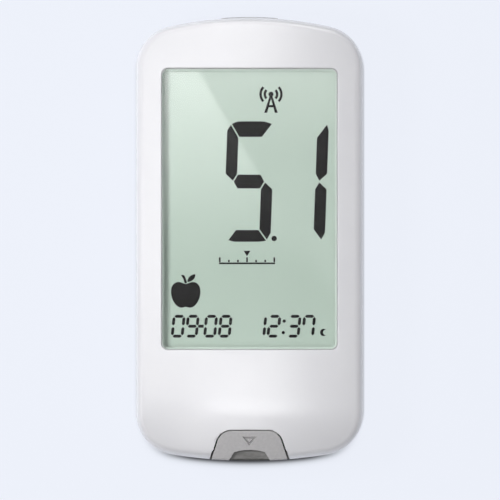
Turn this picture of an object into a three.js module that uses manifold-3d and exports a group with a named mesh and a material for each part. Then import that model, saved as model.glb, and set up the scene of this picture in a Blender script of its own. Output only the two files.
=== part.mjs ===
// Blood glucose meter with a large display, as the separate pieces that it comes apart into.
// Millimetres. +X is right, +Y runs to the top of the display, and +Z comes out of the display.
// The origin lies under the middle of the meter, on the surface that its rubber feet stand on.

import * as THREE from "three";
import { mergeVertices } from "three/addons/utils/BufferGeometryUtils.js";
import Module from "manifold-3d";

const wasm = await Module();
wasm.setup();

// Window and the bezel round it, which give the case its outline
const windowWidth = 38.9;
const windowLength = 62.2;
const windowCornerRadius = 1.4;
const sideBezel = 5.6;
const topBezel = 11.2;
const bottomBezel = 24.6;
const topCrownRadius = 81.8;
const bottomCrownRadius = 106;
const caseCornerRadius = 9.3;

// Walls and faces of the case
const sideWall = 1.8;
const frontSkin = 1.6;
const rearSkin = 1.2;
const frontEdgeRadius = 1.6;
const rearEdgeRadius = 3;
const rearDraft = 0.3;
const faceCrown = 0.9;
const lowerBendLength = 13.4;
const lowerBendRadius = 45;
const partingHeight = 9;
const partingGap = 0.3;
const lipHeight = 1.2;

// Clearances
const fitGap = 0.3;
const runningGap = 0.25;
const stackGap = 0.05;
const springSeatGap = 0.1;
const overrun = 2;
const mergeDistance = 0.0001;

// Rubber feet
const footRadius = 2.5;
const footProud = 0.6;
const footRecess = 0.5;
const footToScrew = 9.5;

// Battery cells and their contacts
const cellDiameter = 10.5;
const cellLength = 44.5;
const cellNubRadius = 1.9;
const cellNubHeight = 0.9;
const cellRimRadius = 0.5;
const contactThickness = 0.3;
const contactHeight = 8.4;
const contactWidth = 8.6;
const contactTabWidth = 2;
const contactSpringLength = 3.4;
const contactSpringBaseRadius = 3.1;
const contactSpringTipRadius = 1.7;
const contactSpringWire = 0.5;
const contactSpringTurns = 3.5;

// Battery bay and its door
const bayWall = 1.2;
const bayRoof = 1;
const doorSkin = 1.4;
const doorRailWidth = 1.05;
const doorFlange = 1;
const doorFlangeThickness = 0.9;
const doorLedge = 1;
const doorLeadIn = 8;
const gripGrooveCount = 5;
const gripGrooveLength = 13;
const gripGrooveWidth = 0.8;
const gripGrooveDepth = 0.4;
const gripGroovePitch = 1.9;
const gripToDoorEdge = 6;

// Set button, reached with the battery door off, and its switch
const setButtonRadius = 1.5;
const setButtonRecess = 0.1;
const setFlangeRadius = 2.4;
const setFlangeThickness = 0.6;
const setSleeveHeight = 4.8;
const setSleeveWall = 0.9;
const setButtonSide = 5.5;
const setSwitchSize = 5;
const setSwitchHeight = 1.8;

// Power button in the top end, and its switch
const powerButtonWidth = 13;
const powerButtonHeight = 3.6;
const powerButtonProud = 0.25;
const powerButtonCorner = 1.6;
const powerFlange = 0.9;
const powerFlangeThickness = 0.8;
const powerStemLength = 0.6;
const powerStemWidth = 3;
const powerStemHeight = 1.4;
const powerSwitchWidth = 6;
const powerSwitchDepth = 3;
const powerSwitchHeight = 2.8;

// Switch plungers
const plungerRadius = 0.8;
const plungerShowing = 0.7;
const plungerSunk = 0.6;
const buttonTravel = 0.5;

// Circuit board and the parts on it
const boardThickness = 1;
const boardToWall = 0.6;
const boardEndWidth = 16;
const controllerSize = 9;
const controllerHeight = 1.3;
const signalChipSize = 5;
const signalChipHeight = 1;
const wirelessWidth = 9;
const wirelessLength = 11;
const wirelessHeight = 1.9;
const crystalRadius = 1;
const crystalLength = 6;
const sounderRadius = 5;
const sounderHeight = 2.6;
const chipSpacing = 2;

// Display stack
const ledgeWidth = 0.6;
const apertureCornerRadius = 0.8;
const lensThickness = 1;
const lensRecess = 0.3;
const lensTapeThickness = 0.15;
const lensClearance = 0.12;
const lensSeatThickness = 0.8;
const lensSeatRim = 1.5;
const lcdToSeat = 0.6;
const lcdGlassThickness = 0.6;
const lcdGlassMargin = 0.8;
const lcdContactLedge = 2.5;
const reflectorThickness = 0.2;
const lcdFrameWall = 1;
const lcdFrameLedge = 0.5;
const lcdFrameLedgeWidth = 1.4;
const elastomerWidth = 1.6;

// Strip port
const portInset = 0.4;
const portLength = 11.1;
const portHalfWidth = 5.3;
const portHeight = 2.45;
const stripSlotHalfWidth = 3.7;
const stripSlotHeight = 1;
const portFloor = 0.65;
const portSlotHalfWidth = 1.3;
const stripReach = 10;
const portMouthFlare = 0.5;
const contactPinWidth = 0.7;
const contactPinSpacing = 2.4;
const contactPinThickness = 0.2;
const contactPinRise = 0.35;
const contactPinLength = 7;
const contactPinCrestShare = 0.25;
const contactPinHeelShare = 0.5;

// Strip ejector
const padLength = 6.7;
const padBottomHalfWidth = 8.52;
const padTopHalfWidth = 6.33;
const padShoulderRadius = 3.28;
const padNotchHalfWidth = 4.6;
const padNotchTopHalfWidth = 3.4;
const padNotchShoulder = 1.95;
const padNotchLength = 2.46;
const padPlateThickness = 0.7;
const padPlateHalfWidth = 8;
const padPlateOverlap = 0.8;
const padPlateReach = 3.4;
const armHalfWidth = 3;
const pusherHalfWidth = 0.9;
const pusherLength = 1;
const lugHalfWidth = 1.8;
const lugLength = 0.8;
const lugToFrame = 0.6;
const ejectorTravel = 4;
const arrowWidth = 3.05;
const arrowLength = 1.9;
const arrowLine = 0.35;
const arrowDepth = 0.25;
const arrowToPadTop = 1.35;
const ejectorSpringRadius = 0.95;
const ejectorSpringWire = 0.3;
const ejectorSpringTurns = 6;
const guideRibWidth = 0.9;

// Case screws
const screwHeadRadius = 1.6;
const screwHeadHeight = 1.3;
const screwShankRadius = 1;
const screwTipCone = 0.8;
const screwPocketDepth = 7;
const screwPocketClearance = 0.25;
const screwShankClearance = 0.15;
const screwIntoFront = 2.6;
const bossWall = 0.6;
const crossWidth = 0.5;
const crossSpan = 1.9;
const crossDepth = 0.7;
const screwHeadTopShare = 0.8;
const screwHeadSideShare = 0.6;
const lowerScrewFromEnd = 9.4;

// Blank label on the back
const labelWidth = 24;
const labelLength = 12;
const labelCornerRadius = 1.5;
const labelThickness = 0.15;
const labelRecess = 0.25;
const labelToDoor = 4;

// Counts of steps on round shapes, and the places of the rings that close the face as shares of its outline
const cornerSteps = 8;
const crownSteps = 6;
const edgeSteps = 4;
const roundSides = 24;
const smallSides = 12;
const stepsPerTurn = 8;
const samplesPerStep = 4;
const wireSides = 5;
const faceRingShares = [0.94, 0.87, 0.8, 0.7, 0.5, 0.25];

// Outline of the case
const caseWidth = windowWidth + 2 * sideBezel;
const caseLength = topBezel + windowLength + bottomBezel;
const halfWidth = caseWidth / 2;
const halfLength = caseLength / 2;
const windowTopY = halfLength - topBezel;
const windowLowY = windowTopY - windowLength;
const topCrownY = halfLength - topCrownRadius;
const bottomCrownY = bottomCrownRadius - halfLength;
const cornerX = halfWidth - caseCornerRadius;
const topCornerY = topCrownY + Math.sqrt((topCrownRadius - caseCornerRadius) ** 2 - cornerX ** 2);
const bottomCornerY =
  bottomCrownY - Math.sqrt((bottomCrownRadius - caseCornerRadius) ** 2 - cornerX ** 2);

// Heights of the stack, from the feet up to the lens and the face
const rearFaceZ = footProud;
const rearFloorZ = rearFaceZ + rearSkin;
const doorTopZ = rearFaceZ + doorSkin;
const flangeLowZ = rearFloorZ + runningGap;
const flangeTopZ = flangeLowZ + doorFlangeThickness;
const ledgeLowZ = flangeTopZ + runningGap;
const ledgeTopZ = ledgeLowZ + doorLedge;
const cellAxisZ = doorTopZ + fitGap + cellDiameter / 2;
const bayCeilingZ = cellAxisZ + cellDiameter / 2 + fitGap;
const bayRoofTopZ = bayCeilingZ + bayRoof;
const boardLowZ = bayRoofTopZ + fitGap;
const boardTopZ = boardLowZ + boardThickness;
const lcdFrameLowZ = boardTopZ + stackGap;
const lcdFrameLedgeZ = lcdFrameLowZ + lcdFrameLedge;
const reflectorLowZ = lcdFrameLedgeZ + stackGap;
const rearGlassLowZ = reflectorLowZ + reflectorThickness + stackGap;
const frontGlassLowZ = rearGlassLowZ + lcdGlassThickness + stackGap;
const frontGlassTopZ = frontGlassLowZ + lcdGlassThickness;
const lensSeatLowZ = frontGlassTopZ + lcdToSeat;
const lensSeatTopZ = lensSeatLowZ + lensSeatThickness;
const lensTapeLowZ = lensSeatTopZ + stackGap;
const lensLowZ = lensTapeLowZ + lensTapeThickness + stackGap;
const lensTopZ = lensLowZ + lensThickness;
const faceTopZ = lensTopZ + lensRecess + faceCrown * (windowWidth / caseWidth) ** 2;
const rearTopZ = partingHeight - partingGap / 2;
const frontLowZ = partingHeight + partingGap / 2;

// Places that several pieces share
const cellX = (cellDiameter + fitGap) / 2;
const bayHalfWidth = cellX + cellDiameter / 2 + fitGap;
const bayOuterHalfWidth = bayHalfWidth + bayWall;
const doorHalfWidth = bayOuterHalfWidth + fitGap + doorRailWidth;
const flangeHalfWidth = doorHalfWidth + doorFlange;
const grooveHalfWidth = flangeHalfWidth + runningGap;
const ledgeHalfWidth = grooveHalfWidth + doorLedge;
const endWallInnerY = crownY(doorHalfWidth, sideWall);
const bayTopOuterY = endWallInnerY - fitGap;
const bayTopY = bayTopOuterY - bayWall;
const contactStack = springSeatGap + contactThickness + springSeatGap;
const bayLength = cellLength + contactSpringLength + springSeatGap + 2 * contactStack;
const bayLowY = bayTopY - bayLength;
const doorLowY = bayLowY - bayWall - doorLeadIn;
const lcdGlassHalfWidth = windowWidth / 2 + lcdGlassMargin;
const lcdGlassTopY = windowTopY + lcdGlassMargin;
const lcdGlassLowY = windowLowY - lcdGlassMargin;
const lcdLedgeLowY = lcdGlassLowY - lcdContactLedge;
const lcdFrameTopY = lcdGlassTopY + springSeatGap + lcdFrameWall;
const lcdFrameLowY = lcdLedgeLowY - springSeatGap - lcdFrameWall;
const portFrontY = portInset - halfLength;
const portRearY = portFrontY + portLength;
const portLowZ = boardTopZ + stackGap;
const portTopZ = portLowZ + portHeight;
const stripSlotLowZ = portLowZ + portFloor;
const stripSlotTopZ = stripSlotLowZ + stripSlotHeight;
const padLowZ = portTopZ + runningGap;
const plateTopZ = padLowZ + padPlateThickness;
const padTopY = padLength - halfLength;
const pusherLowY = portFrontY + stripReach - pusherLength;
const lugTopY = lcdFrameLowY - lugToFrame;
const lugLowY = lugTopY - lugLength;
const ejectorSpringZ = padLowZ - runningGap - ejectorSpringRadius - ejectorSpringWire / 2;
const rearBossRadius = screwHeadRadius + screwPocketClearance + bossWall;
const frontBossRadius = screwShankRadius + screwShankClearance + 2 * bossWall;
const screwX = grooveHalfWidth + runningGap + rearBossRadius;
const screwTopY = lcdFrameTopY + fitGap + frontBossRadius;
const screwLowY = lowerScrewFromEnd - halfLength;
const screwPocketZ = rearFaceZ + screwPocketDepth;
const frontBossLowZ = boardTopZ + fitGap;
const screwTipZ = frontBossLowZ + screwIntoFront;
const footX = ledgeHalfWidth + runningGap + footRadius;
const powerButtonZ = boardTopZ + stackGap + powerSwitchHeight / 2;
const powerFlangeHalfWidth = powerButtonWidth / 2 + powerFlange;
const powerFlangeOuterY = crownY(powerFlangeHalfWidth, sideWall) - runningGap;
const powerFlangeInnerY = powerFlangeOuterY - powerFlangeThickness;
const powerStemY = powerFlangeInnerY - powerStemLength;
const powerSwitchTopY = powerStemY - springSeatGap - plungerShowing;
const setButtonY = bayLowY - bayWall - doorLeadIn / 2;
const setFlangeLowZ = ledgeTopZ + setSleeveHeight + runningGap;
const setSwitchLowZ = boardLowZ - stackGap - setSwitchHeight;
const setStemTopZ = setSwitchLowZ - plungerShowing - springSeatGap;

// Finishes: colour, roughness and metalness
const finish = (color, roughness, metalness = 0) =>
  new THREE.MeshStandardMaterial({ color, roughness, metalness });
const whiteShell = finish("#e9e8ed", 0.35);
const greyPad = finish("#a9a7a8", 0.45);
const darkPlastic = finish("#6e6d6c", 0.5);
const palePlastic = finish("#d9dbda", 0.6);
const blackPlastic = finish("#1c1c1e", 0.55);
const greenBoard = finish("#1f5d3a", 0.5);
const greyRubber = finish("#55575a", 0.85);
const conductiveRubber = finish("#2d2c31", 0.8);
const steel = finish("#b9bcc0", 0.3, 1);
const gold = finish("#c9a45a", 0.3, 1);
const cellJacket = finish("#3d4148", 0.4, 0.3);
const reflectorFilm = finish("#bccabf", 0.5);
const labelFilm = finish("#d4d5d8", 0.6);
const tapeFilm = finish("#e4e4e6", 0.8);
const clearLens = finish("#f2f7f4", 0.05);
clearLens.transparent = true;
clearLens.opacity = 0.3;

// Y of the top end of the case, at a place across it and an inset from its outline
function crownY(x, inset) {
  return topCrownY + Math.sqrt((topCrownRadius - inset) ** 2 - x ** 2);
}

// Height of the front face: it is crowned across, and its lower end bends back
function faceHeight(x, y) {
  const bend = Math.max(0, lowerBendLength - halfLength - y);
  return faceTopZ - faceCrown * (x / halfWidth) ** 2 - bend ** 2 / (2 * lowerBendRadius);
}

// Points on an arc from one angle to another, with its ends or between them
function arcPoints(centreX, centreY, radius, from, to, steps, withEnds) {
  const points = [];
  const skip = withEnds ? 0 : 1;
  for (let i = skip; i <= steps - skip; i++) {
    const angle = from + ((to - from) * i) / steps;
    points.push([centreX + radius * Math.cos(angle), centreY + radius * Math.sin(angle)]);
  }
  return points;
}

// The outline of the case moved in by an inset, counter-clockwise: four corners and two crowned ends
function outline(inset) {
  const corner = caseCornerRadius - inset;
  const topAngle = Math.atan2(topCornerY - topCrownY, cornerX);
  const lowAngle = Math.atan2(bottomCornerY - bottomCrownY, cornerX);
  const topEnd = topCrownRadius - inset;
  const lowEnd = bottomCrownRadius - inset;
  return [
    ...arcPoints(cornerX, bottomCornerY, corner, lowAngle, 0, cornerSteps, true),
    ...arcPoints(cornerX, topCornerY, corner, 0, topAngle, cornerSteps, true),
    ...arcPoints(0, topCrownY, topEnd, topAngle, Math.PI - topAngle, crownSteps, false),
    ...arcPoints(-cornerX, topCornerY, corner, Math.PI - topAngle, Math.PI, cornerSteps, true),
    ...arcPoints(-cornerX, bottomCornerY, corner, Math.PI, Math.PI - lowAngle, cornerSteps, true),
    ...arcPoints(0, bottomCrownY, lowEnd, -Math.PI - lowAngle, lowAngle, crownSteps, false),
  ];
}

// A closed three.js geometry as a solid for joining and cutting
function solidOf(geometry) {
  const bare = geometry.index ? geometry.toNonIndexed() : geometry.clone();
  bare.deleteAttribute("normal");
  bare.deleteAttribute("uv");
  const merged = mergeVertices(bare, mergeDistance);
  const vertProperties = merged.attributes.position.array;
  const triVerts = new Uint32Array(merged.index.array);
  return new wasm.Manifold(new wasm.Mesh({ numProp: 3, vertProperties, triVerts }));
}

// A solid as a three.js geometry
function geometryOf(solid) {
  const { vertProperties, triVerts } = solid.getMesh();
  const geometry = new THREE.BufferGeometry();
  geometry.setAttribute("position", new THREE.BufferAttribute(vertProperties, 3));
  geometry.setIndex(new THREE.BufferAttribute(triVerts, 1));
  geometry.computeVertexNormals();
  return geometry;
}

// A solid through rings of points of one count, from the lowest ring to the highest
function loft(rings, lowMiddle, topMiddle) {
  const count = rings[0].length;
  const positions = [...rings.flat(), lowMiddle, topMiddle].flat();
  const lowIndex = rings.length * count;
  const lastRing = (rings.length - 1) * count;
  const faces = [];
  for (let i = 0; i < count; i++) {
    const next = (i + 1) % count;
    faces.push(lowIndex, next, i);
    faces.push(lowIndex + 1, lastRing + i, lastRing + next);
    for (let low = 0; low < lastRing; low += count) {
      faces.push(low + i, low + next, low + count + next);
      faces.push(low + i, low + count + next, low + count + i);
    }
  }
  const geometry = new THREE.BufferGeometry();
  geometry.setAttribute("position", new THREE.Float32BufferAttribute(positions, 3));
  geometry.setIndex(faces);
  return solidOf(geometry);
}

// A block between two limits along each axis
function block([x0, x1], [y0, y1], [z0, z1]) {
  const geometry = new THREE.BoxGeometry(x1 - x0, y1 - y0, z1 - z0);
  geometry.translate((x0 + x1) / 2, (y0 + y1) / 2, (z0 + z1) / 2);
  return solidOf(geometry);
}

// A round post along Z
function post(x, y, radius, [z0, z1], sides = roundSides) {
  const geometry = new THREE.CylinderGeometry(radius, radius, z1 - z0, sides);
  geometry.rotateX(Math.PI / 2);
  geometry.translate(x, y, (z0 + z1) / 2);
  return solidOf(geometry);
}

// An outline raised along Z from one height to another
function prism(shape, [z0, z1]) {
  const geometry = new THREE.ExtrudeGeometry(shape, {
    depth: z1 - z0,
    bevelEnabled: false,
    curveSegments: cornerSteps,
  });
  geometry.translate(0, 0, z0);
  return solidOf(geometry);
}

function shapeThrough(points) {
  return new THREE.Shape(points.map(([x, y]) => new THREE.Vector2(x, y)));
}

// A rectangle with round corners between two limits across and along
function roundedRectangle([x0, x1], [y0, y1], radius) {
  const quarter = Math.PI / 2;
  return shapeThrough([
    ...arcPoints(x1 - radius, y0 + radius, radius, -quarter, 0, edgeSteps, true),
    ...arcPoints(x1 - radius, y1 - radius, radius, 0, quarter, edgeSteps, true),
    ...arcPoints(x0 + radius, y1 - radius, radius, quarter, 2 * quarter, edgeSteps, true),
    ...arcPoints(x0 + radius, y0 + radius, radius, 2 * quarter, 3 * quarter, edgeSteps, true),
  ]);
}

// A rectangle round the middle of the window, larger than it by a margin
function windowShape(margin, radius) {
  const half = windowWidth / 2 + margin;
  return roundedRectangle([-half, half], [windowLowY - margin, windowTopY + margin], radius);
}

const bothSides = [-1, 1];

function joined(solids) {
  return solids.reduce((all, solid) => all.add(solid));
}

// The four case screws stand at the same distance from the middle line
const screwPlaces = [screwLowY, screwTopY].flatMap((y) => bothSides.map((side) => [side * screwX, y]));
const footPlaces = [screwLowY + footToScrew, screwTopY - footToScrew].flatMap((y) =>
  bothSides.map((side) => [side * footX, y]),
);

// The rounded and crowned body that the front cover is cut from
function frontBody() {
  const rings = [outline(0).map(([x, y]) => [x, y, frontLowZ])];
  for (let i = 0; i <= edgeSteps; i++) {
    const angle = (Math.PI / 2) * (i / edgeSteps);
    const inset = frontEdgeRadius * (1 - Math.cos(angle));
    const drop = frontEdgeRadius * (1 - Math.sin(angle));
    rings.push(outline(inset).map(([x, y]) => [x, y, faceHeight(x, y) - drop]));
  }
  rings.push(...faceRings(outline(frontEdgeRadius), 0));
  return loft(rings, [0, 0, frontLowZ], [0, 0, faceHeight(0, 0)]);
}

// Rings that close a crowned face towards its middle
function faceRings(edge, depth) {
  return faceRingShares.map((share) =>
    edge.map(([x, y]) => [x * share, y * share, faceHeight(x * share, y * share) - depth]),
  );
}

function frontHollow() {
  const edge = outline(sideWall);
  const lowZ = frontLowZ - overrun;
  const rings = [
    edge.map(([x, y]) => [x, y, lowZ]),
    edge.map(([x, y]) => [x, y, faceHeight(x, y) - frontSkin]),
    ...faceRings(edge, frontSkin),
  ];
  return loft(rings, [0, 0, lowZ], [0, 0, faceHeight(0, 0) - frontSkin]);
}

// The body that the rear cover and the battery door are cut from: a pan with a rounded lower edge
function rearPan(inset, radius, lowZ, topZ) {
  const rings = [];
  for (let i = 0; i <= edgeSteps; i++) {
    const angle = (Math.PI / 2) * (i / edgeSteps);
    const ringInset = inset + rearDraft + radius * (1 - Math.sin(angle));
    const z = lowZ + radius * (1 - Math.cos(angle));
    rings.push(outline(ringInset).map(([x, y]) => [x, y, z]));
  }
  rings.push(outline(inset).map(([x, y]) => [x, y, topZ]));
  return loft(rings, [0, 0, lowZ], [0, 0, topZ]);
}

const rearBody = rearPan(0, rearEdgeRadius, rearFaceZ, rearTopZ);
const hollowRadius = rearEdgeRadius - rearSkin;

function rearHollow(floorZ) {
  return rearPan(sideWall, hollowRadius, floorZ, rearTopZ + overrun);
}

// The rebate inside the rim of the rear half, which the lip of the front cover drops into
function lipRebate() {
  const ring = shapeThrough(outline(sideWall / 2));
  return prism(ring, [rearTopZ - lipHeight - fitGap, rearTopZ + overrun]);
}

// The pad of the ejector seen from the front, wider by a margin
function padOutline(margin) {
  const lowY = -halfLength - overrun;
  const topY = padTopY + margin;
  const slope = (padBottomHalfWidth - padTopHalfWidth) / padLength;
  const topHalf = padTopHalfWidth + margin;
  const lowHalf = topHalf + slope * (topY - lowY);
  const lean = Math.atan(slope);
  const radius = padShoulderRadius + margin;
  const shoulderX = topHalf - radius * Math.tan((Math.PI / 2 - lean) / 2);
  const shoulderY = topY - radius;
  return shapeThrough([
    [-lowHalf, lowY],
    [lowHalf, lowY],
    ...arcPoints(shoulderX, shoulderY, radius, lean, Math.PI / 2, cornerSteps, true),
    ...arcPoints(-shoulderX, shoulderY, radius, Math.PI / 2, Math.PI - lean, cornerSteps, true),
  ]);
}

function frontCover() {
  const bossTop = faceTopZ - frontSkin;
  const seat = prism(windowShape(lensSeatRim, windowCornerRadius), [lensSeatLowZ, lensSeatTopZ + frontSkin]);
  const lipRing = prism(shapeThrough(outline(sideWall / 2 + fitGap / 2)), [
    rearTopZ - lipHeight,
    frontLowZ + sideWall,
  ]);
  const ribLowZ = padLowZ - runningGap;
  const ribX = padPlateHalfWidth + runningGap;
  const ribs = bothSides.map((side) => {
    const limits = [side * ribX, side * (ribX + guideRibWidth)].sort((a, b) => a - b);
    return block(limits, [padTopY - padPlateOverlap, padTopY + padPlateReach], [ribLowZ, bossTop]);
  });
  const bosses = screwPlaces.map(([x, y]) => post(x, y, frontBossRadius, [frontBossLowZ, bossTop]));
  const inside = joined([seat, ...ribs, ...bosses]).intersect(frontBody());
  const shell = frontBody().add(lipRing).subtract(frontHollow()).add(inside);
  const pocket = prism(windowShape(0, windowCornerRadius), [lensSeatTopZ, faceTopZ + overrun]);
  const aperture = prism(windowShape(-ledgeWidth, apertureCornerRadius), [
    lensSeatLowZ - overrun,
    faceTopZ + overrun,
  ]);
  const padOpening = prism(padOutline(runningGap), [padLowZ - runningGap, faceTopZ + overrun]);
  const portHalf = portHalfWidth + runningGap;
  const portOpening = block(
    [-portHalf, portHalf],
    [-halfLength - overrun, portRearY],
    [portLowZ - runningGap, padLowZ],
  );
  const plateRelief = block(
    [-ribX, ribX],
    [padTopY - padPlateOverlap - ejectorTravel - runningGap, lugTopY + runningGap],
    [padLowZ - runningGap, plateTopZ + runningGap],
  );
  const buttonHole = powerButtonPrism(runningGap, 0, [powerStemY, halfLength + overrun]);
  const boreRadius = screwShankRadius + screwShankClearance;
  const boreLimits = [frontBossLowZ - overrun, screwTipZ + fitGap];
  const bores = screwPlaces.map(([x, y]) => post(x, y, boreRadius, boreLimits, smallSides));
  return shell.subtract(
    joined([pocket, aperture, padOpening, portOpening, plateRelief, buttonHole, ...bores]),
  );
}

// The battery bay stands in the rear cover as a tray that is open towards the door
function bayTray() {
  const x = [-bayOuterHalfWidth, bayOuterHalfWidth];
  const outer = block(x, [bayLowY - bayWall, bayTopOuterY], [doorTopZ + fitGap, bayRoofTopZ]);
  const inner = block([-bayHalfWidth, bayHalfWidth], [bayLowY, bayTopY], [rearFaceZ, bayCeilingZ]);
  const tabHoles = contactTabs(runningGap / 2, bayRoofTopZ + overrun);
  return outer.subtract(inner).subtract(tabHoles);
}

// The ledge over the flanges of the door, with the rib that carries it on each side
function doorTrack() {
  const lowY = doorLowY - fitGap - doorLedge;
  const topY = bayTopOuterY;
  const plate = block([-ledgeHalfWidth, ledgeHalfWidth], [lowY, topY], [ledgeLowZ, ledgeTopZ]);
  const ribs = bothSides.map((side) => {
    const limits = [side * grooveHalfWidth, side * ledgeHalfWidth].sort((a, b) => a - b);
    return block(limits, [lowY, topY], [rearFaceZ, ledgeTopZ]);
  });
  const endRib = block([-ledgeHalfWidth, ledgeHalfWidth], [lowY, lowY + doorLedge], [rearFaceZ, ledgeTopZ]);
  const cellOpening = block(
    [-bayHalfWidth, bayHalfWidth],
    [bayLowY, topY - bayWall],
    [ledgeLowZ - overrun, ledgeTopZ + overrun],
  );
  return joined([plate, ...ribs, endRib]).subtract(cellOpening);
}

// Sleeve round the set button
function setSleeve() {
  const bore = setButtonRadius + runningGap;
  return {
    outer: post(setButtonSide, setButtonY, bore + setSleeveWall, [ledgeLowZ, ledgeTopZ + setSleeveHeight]),
    bore: post(setButtonSide, setButtonY, bore, [rearFaceZ, bayRoofTopZ], smallSides),
  };
}

// What the door takes out of the rear cover: its own outline, and the path of its flanges
function doorSpace() {
  const sideGap = doorHalfWidth + runningGap;
  const farY = halfLength + overrun;
  const along = [doorLowY - runningGap, farY];
  const skin = block([-sideGap, sideGap], along, [rearFaceZ - overrun, ledgeLowZ]);
  const flanges = block([-grooveHalfWidth, grooveHalfWidth], along, [rearFloorZ, ledgeLowZ]);
  const endWall = block([-sideGap, sideGap], [bayTopOuterY, farY], [rearFaceZ - overrun, rearTopZ + overrun]);
  return joined([skin, flanges, endWall]);
}

function rearCover() {
  const sleeve = setSleeve();
  const bosses = screwPlaces.map(([x, y]) => post(x, y, rearBossRadius, [rearFaceZ, bayRoofTopZ]));
  const low = joined([doorTrack(), ...bosses]).intersect(insideOfWalls());
  const shell = rearBody.subtract(rearHollow(rearFloorZ)).subtract(lipRebate());
  const pockets = screwPlaces.map(([x, y]) =>
    post(x, y, screwHeadRadius + screwPocketClearance, [rearFaceZ - overrun, screwPocketZ]),
  );
  const boreRadius = screwShankRadius + screwShankClearance;
  const boreLimits = [screwPocketZ - overrun, bayRoofTopZ + overrun];
  const bores = screwPlaces.map(([x, y]) => post(x, y, boreRadius, boreLimits, smallSides));
  const footPockets = footPlaces.map(([x, y]) =>
    post(x, y, footRadius + stackGap, [rearFaceZ - overrun, rearFaceZ + footRecess]),
  );
  const labelPocket = prism(labelShape(runningGap), [rearFaceZ - overrun, rearFaceZ + labelRecess]);
  return shell
    .add(low)
    .subtract(doorSpace())
    .add(bayTray())
    .add(sleeve.outer)
    .subtract(joined([sleeve.bore, ...pockets, ...bores, ...footPockets, labelPocket]));
}

// The space inside the side walls, which keeps ribs and bosses off the outside of the case
function insideOfWalls() {
  const inner = shapeThrough(outline(sideWall));
  const above = prism(inner, [rearTopZ - lipHeight, faceTopZ]);
  return prism(inner, [rearFaceZ, faceTopZ]).intersect(rearBody.add(above));
}

function labelShape(margin) {
  const half = labelWidth / 2 + margin;
  const topY = doorLowY - labelToDoor + margin;
  const lowY = topY - labelLength - 2 * margin;
  return roundedRectangle([-half, half], [lowY, topY], labelCornerRadius);
}

function batteryDoor() {
  const farY = halfLength + overrun;
  const doorWidth = [-doorHalfWidth, doorHalfWidth];
  const region = block(doorWidth, [doorLowY, farY], [rearFaceZ - overrun, rearTopZ + overrun]);
  const skin = rearBody.intersect(region).subtract(rearHollow(doorTopZ)).subtract(lipRebate());
  const railInner = bayOuterHalfWidth + fitGap;
  const railTopY = endWallInnerY;
  const rails = bothSides.flatMap((side) => {
    const rail = [side * railInner, side * doorHalfWidth].sort((a, b) => a - b);
    const flange = [side * railInner, side * flangeHalfWidth].sort((a, b) => a - b);
    return [
      block(rail, [doorLowY, railTopY], [doorTopZ - doorSkin / 2, flangeTopZ]),
      block(flange, [doorLowY, railTopY], [flangeLowZ, flangeTopZ]),
    ];
  });
  const grooves = [];
  const halfGroove = gripGrooveLength / 2;
  for (let i = 0; i < gripGrooveCount; i++) {
    const y = doorLowY + gripToDoorEdge + i * gripGroovePitch;
    const grooveLimits = [rearFaceZ - overrun, rearFaceZ + gripGrooveDepth];
    grooves.push(block([-halfGroove, halfGroove], [y, y + gripGrooveWidth], grooveLimits));
  }
  const inside = block(doorWidth, [doorLowY - overrun, endWallInnerY], [doorTopZ, rearTopZ + overrun]);
  const railsInCase = joined(rails).intersect(rearBody);
  return skin.subtract(inside).add(railsInCase).subtract(joined(grooves));
}

function displayLens() {
  return prism(windowShape(-lensClearance, windowCornerRadius), [lensLowZ, lensTopZ]);
}

function lensTape() {
  const band = [lensTapeLowZ, lensTapeLowZ + lensTapeThickness];
  const outer = prism(windowShape(-lensClearance, windowCornerRadius), band);
  const inner = prism(windowShape(-ledgeWidth, apertureCornerRadius), [band[0] - overrun, band[1] + overrun]);
  return outer.subtract(inner);
}

// One layer of the display between two limits along the window
function displayLayer([lowY, topY], [lowZ, topZ], margin = 0) {
  const half = lcdGlassHalfWidth + margin;
  return block([-half, half], [lowY - margin, topY + margin], [lowZ, topZ]);
}

function displayFrame() {
  const outerMargin = springSeatGap + lcdFrameWall;
  const underGlass = [lcdGlassLowY, lcdGlassTopY];
  const outer = displayLayer([lcdLedgeLowY, lcdGlassTopY], [lcdFrameLowZ, frontGlassTopZ], outerMargin);
  const well = displayLayer(underGlass, [lcdFrameLedgeZ, faceTopZ], springSeatGap);
  const opening = displayLayer(underGlass, [lcdFrameLowZ - overrun, faceTopZ], -lcdFrameLedgeWidth);
  const contactWell = displayLayer(
    [lcdLedgeLowY, lcdGlassLowY + lcdContactLedge],
    [frontGlassLowZ - stackGap, faceTopZ],
    springSeatGap,
  );
  const stripSlot = elastomerLimits(springSeatGap);
  const slot = block(stripSlot.x, stripSlot.y, [lcdFrameLowZ - overrun, faceTopZ]);
  return outer.subtract(joined([well, opening, contactWell, slot]));
}

function elastomerLimits(margin) {
  const half = lcdGlassHalfWidth - lcdFrameLedgeWidth + margin;
  const middleY = (lcdLedgeLowY + lcdGlassLowY) / 2;
  const reach = elastomerWidth / 2 + margin;
  return { x: [-half, half], y: [middleY - reach, middleY + reach] };
}

function elastomerStrip() {
  const { x, y } = elastomerLimits(0);
  return block(x, y, [boardTopZ + stackGap, frontGlassLowZ - stackGap]);
}

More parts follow.
